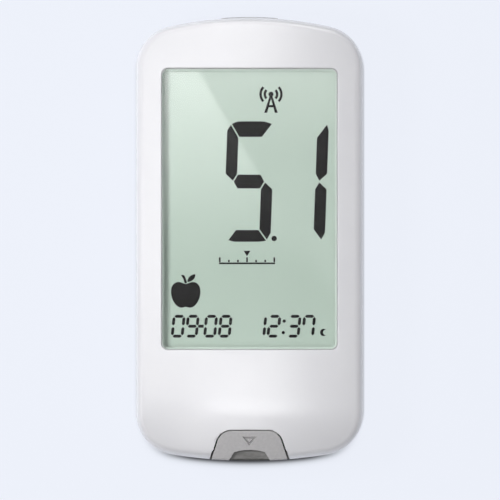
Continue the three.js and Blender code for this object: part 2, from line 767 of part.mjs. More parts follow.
function mainBoard() {
  const band = [boardLowZ, boardTopZ];
  const edge = prism(shapeThrough(outline(sideWall + boardToWall)), band);
  const shoulderY = lcdFrameTopY - runningGap;
  const body = block([-halfWidth, halfWidth], [portFrontY + sideWall, shoulderY], band);
  const topEnd = block([-boardEndWidth / 2, boardEndWidth / 2], [shoulderY, powerSwitchTopY], band);
  const ears = screwPlaces
    .filter(([, y]) => y > 0)
    .map(([x, y]) => post(x, y, frontBossRadius, band));
  const necks = bothSides.map((side) => {
    const limits = [side * (screwX - frontBossRadius), side * screwX].sort((a, b) => a - b);
    return block(limits, [shoulderY, screwTopY], band);
  });
  const holeRadius = screwShankRadius + screwPocketClearance;
  const through = [boardLowZ - overrun, boardTopZ + overrun];
  const holes = screwPlaces.map(([x, y]) => post(x, y, holeRadius, through, smallSides));
  return edge.intersect(joined([body, topEnd, ...ears, ...necks])).subtract(joined(holes));
}

// A chip under the board, at a place seen from the front
function underBoard(x, y, width, length, height) {
  const topZ = boardLowZ - stackGap;
  return block([x - width / 2, x + width / 2], [y - length / 2, y + length / 2], [topZ - height, topZ]);
}

const chipRowY = bayLowY - bayWall - doorLeadIn - chipSpacing - controllerSize / 2;
const chipLowRowY = chipRowY - controllerSize / 2 - chipSpacing - wirelessLength / 2;

function crystal() {
  const geometry = new THREE.CylinderGeometry(crystalRadius, crystalRadius, crystalLength, smallSides);
  const x = controllerSize / 2 + chipSpacing + crystalRadius;
  geometry.translate(x, chipRowY, boardLowZ - stackGap - crystalRadius);
  return solidOf(geometry);
}

function sounder() {
  const x = -(controllerSize / 2 + chipSpacing + sounderRadius);
  const topZ = boardLowZ - stackGap;
  return post(x, chipRowY, sounderRadius, [topZ - sounderHeight, topZ]);
}

function stripPort() {
  const body = block([-portHalfWidth, portHalfWidth], [portFrontY, portRearY], [portLowZ, portTopZ]);
  const channel = block(
    [-stripSlotHalfWidth, stripSlotHalfWidth],
    [portFrontY - overrun, portFrontY + stripReach],
    [stripSlotLowZ, stripSlotTopZ],
  );
  const flareHalf = stripSlotHalfWidth + portMouthFlare;
  const mouth = block(
    [-flareHalf, flareHalf],
    [portFrontY - overrun, portFrontY + portMouthFlare],
    [stripSlotLowZ - portMouthFlare / 2, stripSlotTopZ + portMouthFlare / 2],
  );
  const pusherPath = block(
    [-portSlotHalfWidth, portSlotHalfWidth],
    [pusherLowY - ejectorTravel - runningGap, pusherLowY + pusherLength + runningGap],
    [stripSlotLowZ, portTopZ + overrun],
  );
  const pinGrooves = pinPlaces().map((x) =>
    block(
      [x - contactPinWidth, x + contactPinWidth],
      [pinLowY() - runningGap, portRearY + overrun],
      [stripSlotLowZ - contactPinThickness - stackGap, stripSlotTopZ - contactPinRise],
    ),
  );
  return body.subtract(joined([channel, mouth, pusherPath, ...pinGrooves]));
}

function pinPlaces() {
  return [-contactPinSpacing, 0, contactPinSpacing];
}

function pinLowY() {
  return portFrontY + stripReach - contactPinLength;
}

// A leaf that rises into the slot and runs out behind the port to its solder foot
function contactPin() {
  const base = stripSlotLowZ - contactPinThickness;
  const crest = base + contactPinRise;
  const crestY = pinLowY() + contactPinLength * contactPinCrestShare;
  const heelY = pinLowY() + contactPinLength * contactPinHeelShare;
  const footY = portRearY + contactPinWidth;
  const profile = shapeThrough([
    [pinLowY(), base],
    [crestY, crest],
    [heelY, base],
    [footY, base],
    [footY, base + contactPinThickness],
    [heelY, base + contactPinThickness],
    [crestY, crest + contactPinThickness],
    [pinLowY(), base + contactPinThickness],
  ]);
  const geometry = new THREE.ExtrudeGeometry(profile, { depth: contactPinWidth, bevelEnabled: false });
  geometry.rotateY(Math.PI / 2);
  geometry.rotateX(Math.PI / 2);
  geometry.translate(-contactPinWidth / 2, 0, 0);
  return solidOf(geometry);
}

function padNotch() {
  const lowY = -halfLength - overrun;
  const baseY = -halfLength;
  const slope = (padNotchHalfWidth - padNotchTopHalfWidth) / padNotchShoulder;
  const crownRise = padNotchLength - padNotchShoulder;
  const crownRadius = (padNotchTopHalfWidth ** 2 + crownRise ** 2) / (2 * crownRise);
  const crownAngle = Math.asin(padNotchTopHalfWidth / crownRadius);
  const quarter = Math.PI / 2;
  return shapeThrough([
    [-padNotchHalfWidth - slope * overrun, lowY],
    [padNotchHalfWidth + slope * overrun, lowY],
    ...arcPoints(
      0,
      baseY + padNotchLength - crownRadius,
      crownRadius,
      quarter - crownAngle,
      quarter + crownAngle,
      cornerSteps,
      true,
    ),
  ]);
}

// A triangle that points the way the ejector is pushed, drawn as an engraved line
function arrowMark() {
  const topY = padTopY - arrowToPadTop;
  const tipY = topY - arrowLength;
  const slope = arrowWidth / 2 / arrowLength;
  const innerTopY = topY - arrowLine;
  const innerTipY = tipY + arrowLine / Math.sin(Math.atan(slope));
  const innerHalf = (innerTopY - innerTipY) * slope;
  const outer = shapeThrough([
    [-arrowWidth / 2, topY],
    [0, tipY],
    [arrowWidth / 2, topY],
  ]);
  const inner = new THREE.Path([
    new THREE.Vector2(-innerHalf, innerTopY),
    new THREE.Vector2(innerHalf, innerTopY),
    new THREE.Vector2(0, innerTipY),
  ]);
  outer.holes.push(inner);
  const floorZ = faceHeight(0, tipY) - arrowDepth;
  return prism(outer, [floorZ, faceTopZ + overrun]);
}

function ejectorSlider() {
  const pad = prism(padOutline(0), [padLowZ, faceTopZ + overrun])
    .intersect(frontBody())
    .subtract(prism(padNotch(), [padLowZ - overrun, faceTopZ + overrun]))
    .subtract(arrowMark());
  const plate = block(
    [-padPlateHalfWidth, padPlateHalfWidth],
    [padTopY - padPlateOverlap, padTopY + padPlateReach - runningGap],
    [padLowZ, plateTopZ],
  );
  const arm = block([-armHalfWidth, armHalfWidth], [padTopY, lugTopY], [padLowZ, plateTopZ]);
  const lug = block([-lugHalfWidth, lugHalfWidth], [lugLowY, lugTopY], [lcdFrameLowZ + fitGap, plateTopZ]);
  const pusher = block(
    [-pusherHalfWidth, pusherHalfWidth],
    [pusherLowY, pusherLowY + pusherLength],
    [stripSlotTopZ - contactPinRise, plateTopZ],
  );
  return joined([pad, plate, arm, lug, pusher]);
}

// A wire that winds round the Y axis while it runs along it
class WireCoil extends THREE.Curve {
  constructor(startRadius, endRadius, length, turns) {
    super();
    Object.assign(this, { startRadius, endRadius, length, turns });
  }

  getPoint(share) {
    const radius = this.startRadius + (this.endRadius - this.startRadius) * share;
    const angle = 2 * Math.PI * this.turns * share;
    return new THREE.Vector3(radius * Math.cos(angle), this.length * share, radius * Math.sin(angle));
  }
}

// The least clear distance between one turn of a wire and the next, on points along it
function leastCoilGap(coil, wire) {
  const points = coil.getPoints(coil.turns * stepsPerTurn * samplesPerStep);
  const halfTurn = (stepsPerTurn * samplesPerStep) / 2;
  let least = Infinity;
  points.forEach((point, i) => {
    points.slice(i + halfTurn).forEach((other) => {
      least = Math.min(least, point.distanceTo(other));
    });
  });
  return least - wire;
}

// A coil spring of a given length over all, from its seat at zero along Y
function coilSpring(name, startRadius, endRadius, length, turns, wire) {
  const coil = new WireCoil(startRadius, endRadius, length - wire, turns);
  const section = shapeThrough(arcPoints(0, 0, wire / 2, 0, 2 * Math.PI, wireSides, true).slice(1));
  const geometry = new THREE.ExtrudeGeometry(section, {
    steps: Math.round(turns * stepsPerTurn),
    extrudePath: coil,
  });
  geometry.translate(0, wire / 2, 0);
  console.log(name + ": least gap between its turns " + leastCoilGap(coil, wire).toFixed(2) + " mm");
  return solidOf(geometry);
}

// A dry cell along Y: a can with a raised nub at its top
function dryCell() {
  const radius = cellDiameter / 2;
  const shoulder = cellLength - cellNubHeight;
  const profile = [
    [0, 0],
    [radius - cellRimRadius, 0],
    [radius, cellRimRadius],
    [radius, shoulder - cellRimRadius],
    [radius - cellRimRadius, shoulder],
    [cellNubRadius, shoulder],
    [cellNubRadius, cellLength],
    [0, cellLength],
  ].map(([x, y]) => new THREE.Vector2(x, y));
  return solidOf(new THREE.LatheGeometry(profile, roundSides));
}

const contactFloorZ = cellAxisZ - contactHeight / 2;
const topContactY = bayTopY - springSeatGap - contactThickness;
const lowContactY = bayLowY + springSeatGap;

// A contact plate with a tab that runs up to the board
function contactPlate([x0, x1], y, tabX, margin = 0, tabTopZ = boardLowZ - stackGap) {
  const plate = block([x0, x1], [y, y + contactThickness], [contactFloorZ, contactFloorZ + contactHeight]);
  const tabHalf = contactTabWidth / 2 + margin;
  const tab = block(
    [tabX - tabHalf, tabX + tabHalf],
    [y - margin, y + contactThickness + margin],
    [cellAxisZ, tabTopZ],
  );
  return { whole: plate.add(tab), tab };
}

const bridgePlate = [-cellX - contactWidth / 2, cellX + contactWidth / 2];
const leftPlate = [-cellX - contactWidth / 2, -cellX + contactWidth / 2];
const rightPlate = [cellX - contactWidth / 2, cellX + contactWidth / 2];

function contactTabs(margin, topZ) {
  return joined([
    contactPlate(bridgePlate, topContactY, 0, margin, topZ).tab,
    contactPlate(leftPlate, lowContactY, -cellX, margin, topZ).tab,
    contactPlate(rightPlate, lowContactY, cellX, margin, topZ).tab,
  ]);
}

// The power button as seen from the top end, run along Y between two limits
function powerButtonPrism(margin, flange, [y0, y1]) {
  const halfX = powerButtonWidth / 2 + margin + flange;
  const halfZ = powerButtonHeight / 2 + margin + flange / 2;
  const shape = roundedRectangle([-halfX, halfX], [-halfZ, halfZ], powerButtonCorner);
  const geometry = new THREE.ExtrudeGeometry(shape, { depth: y1 - y0, bevelEnabled: false });
  geometry.rotateX(Math.PI / 2);
  geometry.translate(0, y1, powerButtonZ);
  return solidOf(geometry);
}

function powerButton() {
  const endFace = prism(shapeThrough(outline(-powerButtonProud)), [rearTopZ, faceTopZ]);
  const cap = powerButtonPrism(0, 0, [powerFlangeInnerY, halfLength + overrun]).intersect(endFace);
  const flange = powerButtonPrism(0, powerFlange, [powerFlangeInnerY, powerFlangeOuterY]);
  const halfStem = powerStemWidth / 2;
  const stem = block(
    [-halfStem, halfStem],
    [powerStemY, powerFlangeInnerY],
    [powerButtonZ - powerStemHeight / 2, powerButtonZ + powerStemHeight / 2],
  );
  return joined([cap, flange, stem]);
}

function powerSwitch() {
  const half = powerSwitchWidth / 2;
  const lowZ = boardTopZ + stackGap;
  const body = block([-half, half], [powerSwitchTopY - powerSwitchDepth, powerSwitchTopY], [
    lowZ,
    lowZ + powerSwitchHeight,
  ]);
  const bore = plunger(runningGap, plungerSunk + buttonTravel + runningGap);
  bore.rotateX(Math.PI / 2);
  bore.translate(0, powerSwitchTopY, powerButtonZ);
  return body.subtract(solidOf(bore));
}

// A plunger along Z whose switch face is at zero: it stands out below it and is sunk above it
function plunger(margin, sunk) {
  const geometry = new THREE.CylinderGeometry(
    plungerRadius + margin,
    plungerRadius + margin,
    plungerShowing + sunk,
    smallSides,
  );
  geometry.rotateX(Math.PI / 2);
  geometry.translate(0, 0, (sunk - plungerShowing) / 2);
  return geometry;
}

function setButton() {
  const pinLimits = [ledgeLowZ + setButtonRecess, setStemTopZ];
  const pin = post(setButtonSide, setButtonY, setButtonRadius, pinLimits, smallSides);
  const flange = post(setButtonSide, setButtonY, setFlangeRadius, [
    setFlangeLowZ,
    setFlangeLowZ + setFlangeThickness,
  ]);
  return pin.add(flange);
}

function setSwitch() {
  const body = underBoard(setButtonSide, setButtonY, setSwitchSize, setSwitchSize, setSwitchHeight);
  const bore = plunger(runningGap, plungerSunk + buttonTravel + runningGap);
  bore.translate(setButtonSide, setButtonY, setSwitchLowZ);
  return body.subtract(solidOf(bore));
}

// A pan-head screw along Z with its head down, the underside of the head at zero
function caseScrew() {
  const length = screwTipZ - screwPocketZ;
  const profile = [
    [0, -screwHeadHeight],
    [screwHeadRadius * screwHeadTopShare, -screwHeadHeight],
    [screwHeadRadius, -screwHeadHeight * screwHeadSideShare],
    [screwHeadRadius, 0],
    [screwShankRadius, 0],
    [screwShankRadius, length - screwTipCone],
    [0, length],
  ].map(([x, y]) => new THREE.Vector2(x, y));
  const geometry = new THREE.LatheGeometry(profile, smallSides);
  geometry.rotateX(Math.PI / 2);
  const span = crossSpan / 2;
  const width = crossWidth / 2;
  const depth = [-screwHeadHeight - overrun, crossDepth - screwHeadHeight];
  const slot = block([-span, span], [-width, width], depth);
  const crossSlot = block([-width, width], [-span, span], depth);
  return solidOf(geometry).subtract(slot.add(crossSlot));
}

function foot() {
  return post(0, 0, footRadius, [0, rearFaceZ + footRecess - stackGap]);
}

function backLabel() {
  const topZ = rearFaceZ + labelRecess - stackGap;
  return prism(labelShape(0), [topZ - labelThickness, topZ]);
}

// A named mesh from a solid and a finish, at a place and a turn about Z
function piece(name, solid, material, place = [0, 0, 0], turn = 0) {
  const mesh = new THREE.Mesh(geometryOf(solid), material);
  mesh.name = name;
  mesh.position.set(...place);
  mesh.rotation.z = turn;
  return mesh;
}

function group(name, pieces) {
  const made = new THREE.Group();
  made.name = name;
  made.add(...pieces);
  return made;
}

function caseParts() {
  const screw = caseScrew();
  const screws = screwPlaces.map(([x, y], i) =>
    piece("case_screw_" + (i + 1), screw, steel, [x, y, screwPocketZ - stackGap]),
  );
  const feet = footPlaces.map(([x, y], i) => piece("foot_" + (i + 1), foot(), greyRubber, [x, y, 0]));
  return group("case", [
    piece("front_cover", frontCover(), whiteShell),
    piece("rear_cover", rearCover(), whiteShell),
    piece("battery_door", batteryDoor(), whiteShell),
    piece("back_label", backLabel(), labelFilm),
    ...screws,
    ...feet,
  ]);
}

function displayParts() {
  const glassLimits = [lcdGlassLowY, lcdGlassTopY];
  return group("display", [
    piece("display_lens", displayLens(), clearLens),
    piece("lens_tape", lensTape(), tapeFilm),
    piece(
      "lcd_front_glass",
      displayLayer([lcdLedgeLowY, lcdGlassTopY], [frontGlassLowZ, frontGlassTopZ]),
      reflectorFilm,
    ),
    piece(
      "lcd_rear_glass",
      displayLayer(glassLimits, [rearGlassLowZ, rearGlassLowZ + lcdGlassThickness]),
      reflectorFilm,
    ),
    piece(
      "lcd_reflector",
      displayLayer(glassLimits, [reflectorLowZ, reflectorLowZ + reflectorThickness]),
      reflectorFilm,
    ),
    piece("lcd_frame", displayFrame(), palePlastic),
    piece("elastomer_strip", elastomerStrip(), conductiveRubber),
  ]);
}

function boardParts() {
  const wirelessX = controllerSize / 2 + wirelessWidth / 2;
  return group("electronics", [
    piece("main_board", mainBoard(), greenBoard),
    piece(
      "controller_chip",
      underBoard(0, chipRowY, controllerSize, controllerSize, controllerHeight),
      blackPlastic,
    ),
    piece(
      "signal_chip",
      underBoard(0, chipLowRowY, signalChipSize, signalChipSize, signalChipHeight),
      blackPlastic,
    ),
    piece(
      "wireless_module",
      underBoard(wirelessX, chipLowRowY, wirelessWidth, wirelessLength, wirelessHeight),
      steel,
    ),
    piece("crystal_can", crystal(), steel),
    piece("sounder", sounder(), blackPlastic),
    piece("power_switch", powerSwitch(), blackPlastic),
    piece("set_switch", setSwitch(), blackPlastic),
  ]);
}

function portParts() {
  const pins = pinPlaces().map((x, i) => piece("strip_contact_" + (i + 1), contactPin(), gold, [x, 0, 0]));
  return group("port", [piece("strip_port", stripPort(), darkPlastic), ...pins]);
}

function ejectorParts() {
  const springLength = lugLowY - portRearY - 2 * springSeatGap;
  const spring = coilSpring(
    "ejector_spring",
    ejectorSpringRadius,
    ejectorSpringRadius,
    springLength,
    ejectorSpringTurns,
    ejectorSpringWire,
  );
  return group("ejector", [
    piece("ejector_slider", ejectorSlider(), greyPad),
    piece("ejector_spring", spring, steel, [0, portRearY + springSeatGap, ejectorSpringZ]),
  ]);
}

function batteryParts() {
  const cell = dryCell();
  const spring = coilSpring(
    "contact_spring",
    contactSpringBaseRadius,
    contactSpringTipRadius,
    contactSpringLength,
    contactSpringTurns,
    contactSpringWire,
  );
  const nubLimitY = topContactY - springSeatGap;
  const nubLowLimitY = lowContactY + contactThickness + springSeatGap;
  return group("batteries", [
    piece("battery_cell_left", cell, cellJacket, [-cellX, nubLimitY - cellLength, cellAxisZ]),
    piece("battery_cell_right", cell, cellJacket, [cellX, nubLowLimitY + cellLength, cellAxisZ], Math.PI),
    piece("contact_bridge", contactPlate(bridgePlate, topContactY, 0).whole, steel),
    piece("contact_left", contactPlate(leftPlate, lowContactY, -cellX).whole, steel),
    piece("contact_right", contactPlate(rightPlate, lowContactY, cellX).whole, steel),
    piece("contact_spring_left", spring, steel, [-cellX, nubLowLimitY, cellAxisZ]),
    piece("contact_spring_right", spring, steel, [cellX, nubLimitY, cellAxisZ], Math.PI),
  ]);
}

function buttonParts() {
  const powerPlunger = plunger(0, plungerSunk);
  powerPlunger.rotateX(Math.PI / 2);
  return group("buttons", [
    piece("power_button", powerButton(), greyPad),
    piece("power_switch_plunger", solidOf(powerPlunger), darkPlastic, [0, powerSwitchTopY, powerButtonZ]),
    piece("set_button", setButton(), greyPad),
    piece("set_switch_plunger", solidOf(plunger(0, plungerSunk)), darkPlastic, [
      setButtonSide,
      setButtonY,
      setSwitchLowZ,
    ]),
  ]);
}

const meter = group("glucose_meter", [
  caseParts(),
  displayParts(),
  boardParts(),
  portParts(),
  ejectorParts(),
  batteryParts(),
  buttonParts(),
]);

// The power button stands a little proud of the top end, so the case sits half of that below the middle
meter.position.y = -powerButtonProud / 2;

export default meter;
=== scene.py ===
# %% [markdown]
# # A blood glucose meter, dressed for its picture
# The meter lies on its back on a pale table and the camera looks straight down at its window.
# Its case halves, buttons, strip ejector and battery door were drawn as plain solids first. This
# notebook puts smooth, finished skins over those solids, gives each one its surface and lights them.

# %% Load the frame that holds the solids
import math

import bpy
import bmesh
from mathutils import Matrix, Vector


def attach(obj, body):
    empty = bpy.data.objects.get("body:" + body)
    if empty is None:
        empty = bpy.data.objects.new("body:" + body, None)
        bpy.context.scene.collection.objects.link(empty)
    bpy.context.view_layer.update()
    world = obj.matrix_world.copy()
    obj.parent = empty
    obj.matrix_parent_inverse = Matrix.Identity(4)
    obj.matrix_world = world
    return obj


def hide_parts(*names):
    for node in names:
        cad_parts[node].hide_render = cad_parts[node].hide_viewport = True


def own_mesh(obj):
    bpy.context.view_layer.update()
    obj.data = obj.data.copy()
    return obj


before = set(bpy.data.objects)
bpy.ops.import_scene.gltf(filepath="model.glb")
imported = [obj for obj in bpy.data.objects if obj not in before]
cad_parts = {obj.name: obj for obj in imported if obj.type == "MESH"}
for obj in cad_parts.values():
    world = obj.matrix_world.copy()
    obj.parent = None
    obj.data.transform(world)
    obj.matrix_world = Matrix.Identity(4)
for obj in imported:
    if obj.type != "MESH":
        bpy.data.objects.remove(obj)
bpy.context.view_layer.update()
scene = bpy.context.scene
MM = 0.001

# %% [markdown]
# ## The camera
# The picture was taken from straight above with a long lens, so the case shows none of its sides.
# A short lens close by would show the side walls, a long lens far away keeps parallel edges parallel.
# Its distance follows from the width of the picture at a height between the window and the widest part
# of the case, which is 110.84 mm.

# %% Place the camera over the window
PICTURE_WIDTH = 110.84
PICTURE_HEIGHT = 16.0
CENTRE_X, CENTRE_Y = 0.11, -2.475
camera_data = bpy.data.cameras.new("camera_above")
camera_data.lens, camera_data.sensor_width = 400, 36
camera_distance = PICTURE_WIDTH * camera_data.lens / camera_data.sensor_width
camera = bpy.data.objects.new("camera_above", camera_data)
camera.location = (CENTRE_X * MM, CENTRE_Y * MM, (PICTURE_HEIGHT + camera_distance) * MM)
scene.collection.objects.link(camera)
scene.camera = camera
scene.view_settings.view_transform = "Standard"
print("camera", round(camera_distance, 1), "mm above the window")

# %% [markdown]
# ## Curves that the case is drawn from
# The case is a tall rounded rectangle with gently crowned ends. All of its walls, lips and edges follow
# that one outline, moved in by some distance, so one function gives the outline at any inset. The window
# has an outline of its own. It is walked in the same number of steps, so that the face between the two
# can be filled with neat four-sided faces.

# %% Outline of the case and of the window, in millimetres
HALF_WIDTH, HALF_LENGTH = 25.05, 49.0
LENGTH_SHIFT = -0.125
TOP_CROWN, LOW_CROWN, CASE_CORNER = 81.8, 106.0, 9.3
WINDOW_HALF, WINDOW_TOP, WINDOW_LOW, WINDOW_CORNER = 19.45, 37.8, -24.4, 1.4
CORNER_STEPS, SIDE_STEPS, END_STEPS = 14, 30, 26

corner_x = HALF_WIDTH - CASE_CORNER
top_crown_y = HALF_LENGTH - TOP_CROWN
low_crown_y = LOW_CROWN - HALF_LENGTH
top_corner_y = top_crown_y + math.sqrt((TOP_CROWN - CASE_CORNER) ** 2 - corner_x**2)
low_corner_y = low_crown_y - math.sqrt((LOW_CROWN - CASE_CORNER) ** 2 - corner_x**2)
top_angle = math.atan2(top_corner_y - top_crown_y, corner_x)
low_angle = math.atan2(low_corner_y - low_crown_y, corner_x)


def arc(x, y, radius, start, end, steps):
    """Points on an arc without its last one."""
    turns = [start + (end - start) * i / steps for i in range(steps)]
    return [(x + radius * math.cos(t), y + radius * math.sin(t)) for t in turns]


def straight(start, end, steps):
    """Points on a line without its last one."""
    return [tuple(a + (b - a) * i / steps for a, b in zip(start, end)) for i in range(steps)]


def case_outline(inset):
    """The outline of the case, moved in, counter-clockwise from its lower right corner."""
    side, corner = HALF_WIDTH - inset, CASE_CORNER - inset
    return (
        arc(corner_x, low_corner_y, corner, low_angle, 0, CORNER_STEPS)
        + straight((side, low_corner_y), (side, top_corner_y), SIDE_STEPS)
        + arc(corner_x, top_corner_y, corner, 0, top_angle, CORNER_STEPS)
        + arc(0, top_crown_y, TOP_CROWN - inset, top_angle, math.pi - top_angle, END_STEPS)
        + arc(-corner_x, top_corner_y, corner, math.pi - top_angle, math.pi, CORNER_STEPS)
        + straight((-side, top_corner_y), (-side, low_corner_y), SIDE_STEPS)
        + arc(-corner_x, low_corner_y, corner, math.pi, math.pi - low_angle, CORNER_STEPS)
        + arc(0, low_crown_y, LOW_CROWN - inset, -math.pi - low_angle, low_angle, END_STEPS)
    )


def round_rectangle(x, y, r, corner=8, side=1, end=1):
    """A rectangle with round corners, walked in the same order as the case."""
    (x0, x1), (y0, y1), q = x, y, math.pi / 2
    return (
        arc(x1 - r, y0 + r, r, -q, 0, corner)
        + straight((x1, y0 + r), (x1, y1 - r), side)
        + arc(x1 - r, y1 - r, r, 0, q, corner)
        + straight((x1 - r, y1), (x0 + r, y1), end)
        + arc(x0 + r, y1 - r, r, q, 2 * q, corner)
        + straight((x0, y1 - r), (x0, y0 + r), side)
        + arc(x0 + r, y0 + r, r, 2 * q, 3 * q, corner)
        + straight((x0 + r, y0), (x1 - r, y0), end)
    )


def window_outline(margin, radius):
    """The outline of the window, moved out by a margin, in as many steps as the case."""
    half = WINDOW_HALF + margin
    height = (WINDOW_LOW - margin, WINDOW_TOP + margin)
    return round_rectangle((-half, half), height, radius, CORNER_STEPS, SIDE_STEPS, END_STEPS)


print(len(case_outline(0)), "points round the case,", len(window_outline(0, 1)), "round the window")

# %% [markdown]
# ## From curves to surfaces
# Every shell is a stack of rings. Neighbouring rings are joined with four-sided faces, which shade
# smoothly. Where a stack ends it is capped, or it is led back to its first ring, so each shell is a
# closed body with a real wall. A stack of two rings already gives blocks, posts and other straight bodies.

# %% Turn rings into closed bodies
SHARP, ROUND_STEPS = math.radians(32), 48


def smooth(piece):
    """Shade a piece smooth except over its sharp edges, with all faces turned outwards."""
    shaped = bmesh.new()
    shaped.from_mesh(piece.data)
    bmesh.ops.recalc_face_normals(shaped, faces=shaped.faces)
    shaped.to_mesh(piece.data)
    shaped.free()
    piece.data.shade_smooth()
    piece.data.set_sharp_from_angle(angle=SHARP)


def body_from(name, points, faces):
    """A mesh object from points in millimetres."""
    mesh = bpy.data.meshes.new(name)
    mesh.from_pydata([(x * MM, (y + LENGTH_SHIFT) * MM, z * MM) for x, y, z in points], [], faces)
    made = bpy.data.objects.new(name, mesh)
    scene.collection.objects.link(made)
    smooth(made)
    return made


def stack(name, rings, closed=False):
    """A body through rings of one count: capped at both ends, or closed round on itself."""
    count = len(rings[0])
    points = [p for ring in rings for p in ring]
    faces = []
    for low in range(len(rings) if closed else len(rings) - 1):
        high = (low + 1) % len(rings)
        for i in range(count):
            j = (i + 1) % count
            faces.append((low * count + i, low * count + j, high * count + j, high * count + i))
    if not closed:
        faces.append(tuple(reversed(range(count))))
        faces.append(tuple((len(rings) - 1) * count + i for i in range(count)))
    return body_from(name, points, faces)


def level(outline, z):
    """An outline at one height."""
    return [(x, y, z) for x, y in outline]


def prism(name, outline, z):
    """A straight body between two heights."""
    return stack(name, [level(outline, z[0]), level(outline, z[1])])


def rectangle(x, y):
    """The four corners between two x and two y values."""
    return [(x[0], y[0]), (x[1], y[0]), (x[1], y[1]), (x[0], y[1])]


def block(name, x, y, z):
    """A block between two values along each axis."""
    return prism(name, rectangle(x, y), z)


def post(name, x, y, radius, z, sides=ROUND_STEPS):
    """A round post or pin that stands upright."""
    return prism(name, arc(x, y, radius, 0, 2 * math.pi, sides), z)


print("edges over", round(math.degrees(SHARP)), "degrees stay sharp, posts have", ROUND_STEPS, "sides")

# %% [markdown]
# ## Join, cut and ease
# Holes, slots and bosses are cut or joined with Boolean modifiers, because that is how a toolmaker
# thinks of them too: a pin or a pocket put into a block. The cutting bodies could stay in the scene,
# hidden, but then they would be exported as well, so each is used up. No moulded edge is truly sharp, so
# chosen edges are bevelled afterwards.

# %% Join, cut and ease
STEEP = math.radians(40)


def carve(piece, joins=(), cuts=(), keeps=()):
    """Join a body with others, keep what lies in others, cut others out, and use them up."""
    work = [("UNION", t) for t in joins] + [("INTERSECT", t) for t in keeps]
    work += [("DIFFERENCE", t) for t in cuts]
    for kind, tool in work:
        step = piece.modifiers.new(kind.lower(), "BOOLEAN")
        step.operation, step.object, step.solver = kind, tool, "MANIFOLD"
    graph = bpy.context.evaluated_depsgraph_get()
    carved = bpy.data.meshes.new_from_object(piece.evaluated_get(graph))
    piece.modifiers.clear()
    piece.data = carved
    for _, tool in work:
        bpy.data.objects.remove(tool)
    smooth(piece)
    return piece


def ease_edges(piece, width, where, steps=2):
    """Take the sharpness off the edges whose middle passes a test, given in millimetres."""
    shaped = bmesh.new()
    shaped.from_mesh(piece.data)
    bmesh.ops.dissolve_degenerate(shaped, dist=2e-6, edges=shaped.edges)

    def chosen(edge):
        middle = (edge.verts[0].co + edge.verts[1].co) / (2 * MM)
        steep = len(edge.link_faces) == 2 and edge.calc_face_angle(0) > STEEP
        return steep and where(middle.x, middle.y - LENGTH_SHIFT, middle.z)

    edges = [edge for edge in shaped.edges if chosen(edge)]
    bmesh.ops.bevel(shaped, geom=edges, offset=width * MM, segments=steps, profile=0.5,
                    affect="EDGES", clamp_overlap=True)
    shaped.to_mesh(piece.data)
    shaped.free()
    smooth(piece)
    return len(edges)


print("edges over", round(math.degrees(STEEP)), "degrees can be eased")

# %% [markdown]
# ## Give each piece its place
# Each piece rides on the body that it moves with and stands for the solids that it covers. Its shading is led
# by its large faces, so a flat stays flat right up to the small rounding beside it. Averaged shading would
# let every rounding tint the flat next to it.

# %% Give each piece its place
LEAD_WEIGHT = 50


def place_piece(piece, body, slot, *nodes):
    """Fix a piece to its body and let it stand for its solids. The name of its stock is not used."""
    flats = piece.modifiers.new("large_faces_lead", "WEIGHTED_NORMAL")
    flats.mode, flats.weight, flats.keep_sharp = "FACE_AREA", LEAD_WEIGHT, True
    if nodes:
        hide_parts(*nodes)
    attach(piece, body)
    print(piece.name, len(piece.data.polygons), "faces on", body)


print("large faces lead the shading, weight", LEAD_WEIGHT)

# %% [markdown]
# ## How a finish is made
# Moulded plastic is never one flat colour. It has a fine grain from the mould, its tint drifts a little,
# and handling polishes some places more than others. Each finish therefore starts from one Principled
# shader and gets up to three layers of noise: in its tint, in its roughness and in its surface. All of
# them use Object coordinates, so the pattern stays on the piece when the piece moves.

# %% A finish and its noise
NOISE_LOW, NOISE_HIGH = 0.3, 0.7


def finish(name, colour, roughness, metallic=0.0, **sockets):
    """A plain finish, with more of its shader's sockets set by their names."""
    made = bpy.data.materials.new(name)
    made.use_nodes = True
    shader = made.node_tree.nodes["Principled BSDF"]
    shader.inputs["Base Color"].default_value = (*colour, 1)
    shader.inputs["Roughness"].default_value = roughness
    shader.inputs["Metallic"].default_value = metallic
    for socket, value in sockets.items():
        shader.inputs[socket.replace("_", " ")].default_value = value
    return made


def noise(material, size, detail=3.0, stretch=(1, 1, 1)):
    """Noise whose lumps are about size millimetres wide."""
    nodes, links = material.node_tree.nodes, material.node_tree.links
    where = nodes.new("ShaderNodeTexCoord")
    spread = nodes.new("ShaderNodeMapping")
    spread.inputs["Scale"].default_value = stretch
    field = nodes.new("ShaderNodeTexNoise")
    field.inputs["Scale"].default_value = 1 / (size * MM)
    field.inputs["Detail"].default_value = detail
    links.new(where.outputs["Object"], spread.inputs["Vector"])
    links.new(spread.outputs["Vector"], field.inputs["Vector"])
    return field.outputs["Fac"]


print("noise between", NOISE_LOW, "and", NOISE_HIGH, "spans a finish's whole range")

# %% [markdown]
# ## What the noise changes
# The same noise can lead the tint, the roughness or the height of the surface. A displaced mesh could
# show the grain too, but it is only some thousandths of a millimetre high, so a bump is enough.

# %% Tint, polish and grain
def tint(material, fac, first, second, low=NOISE_LOW, high=NOISE_HIGH):
    """Let the base colour drift between two tints."""
    nodes, links = material.node_tree.nodes, material.node_tree.links
    ramp = nodes.new("ShaderNodeValToRGB")
    ramp.color_ramp.elements[0].position, ramp.color_ramp.elements[1].position = low, high
    ramp.color_ramp.elements[0].color = (*first, 1)
    ramp.color_ramp.elements[1].color = (*second, 1)
    links.new(fac, ramp.inputs["Fac"])
    links.new(ramp.outputs["Color"], nodes["Principled BSDF"].inputs["Base Color"])


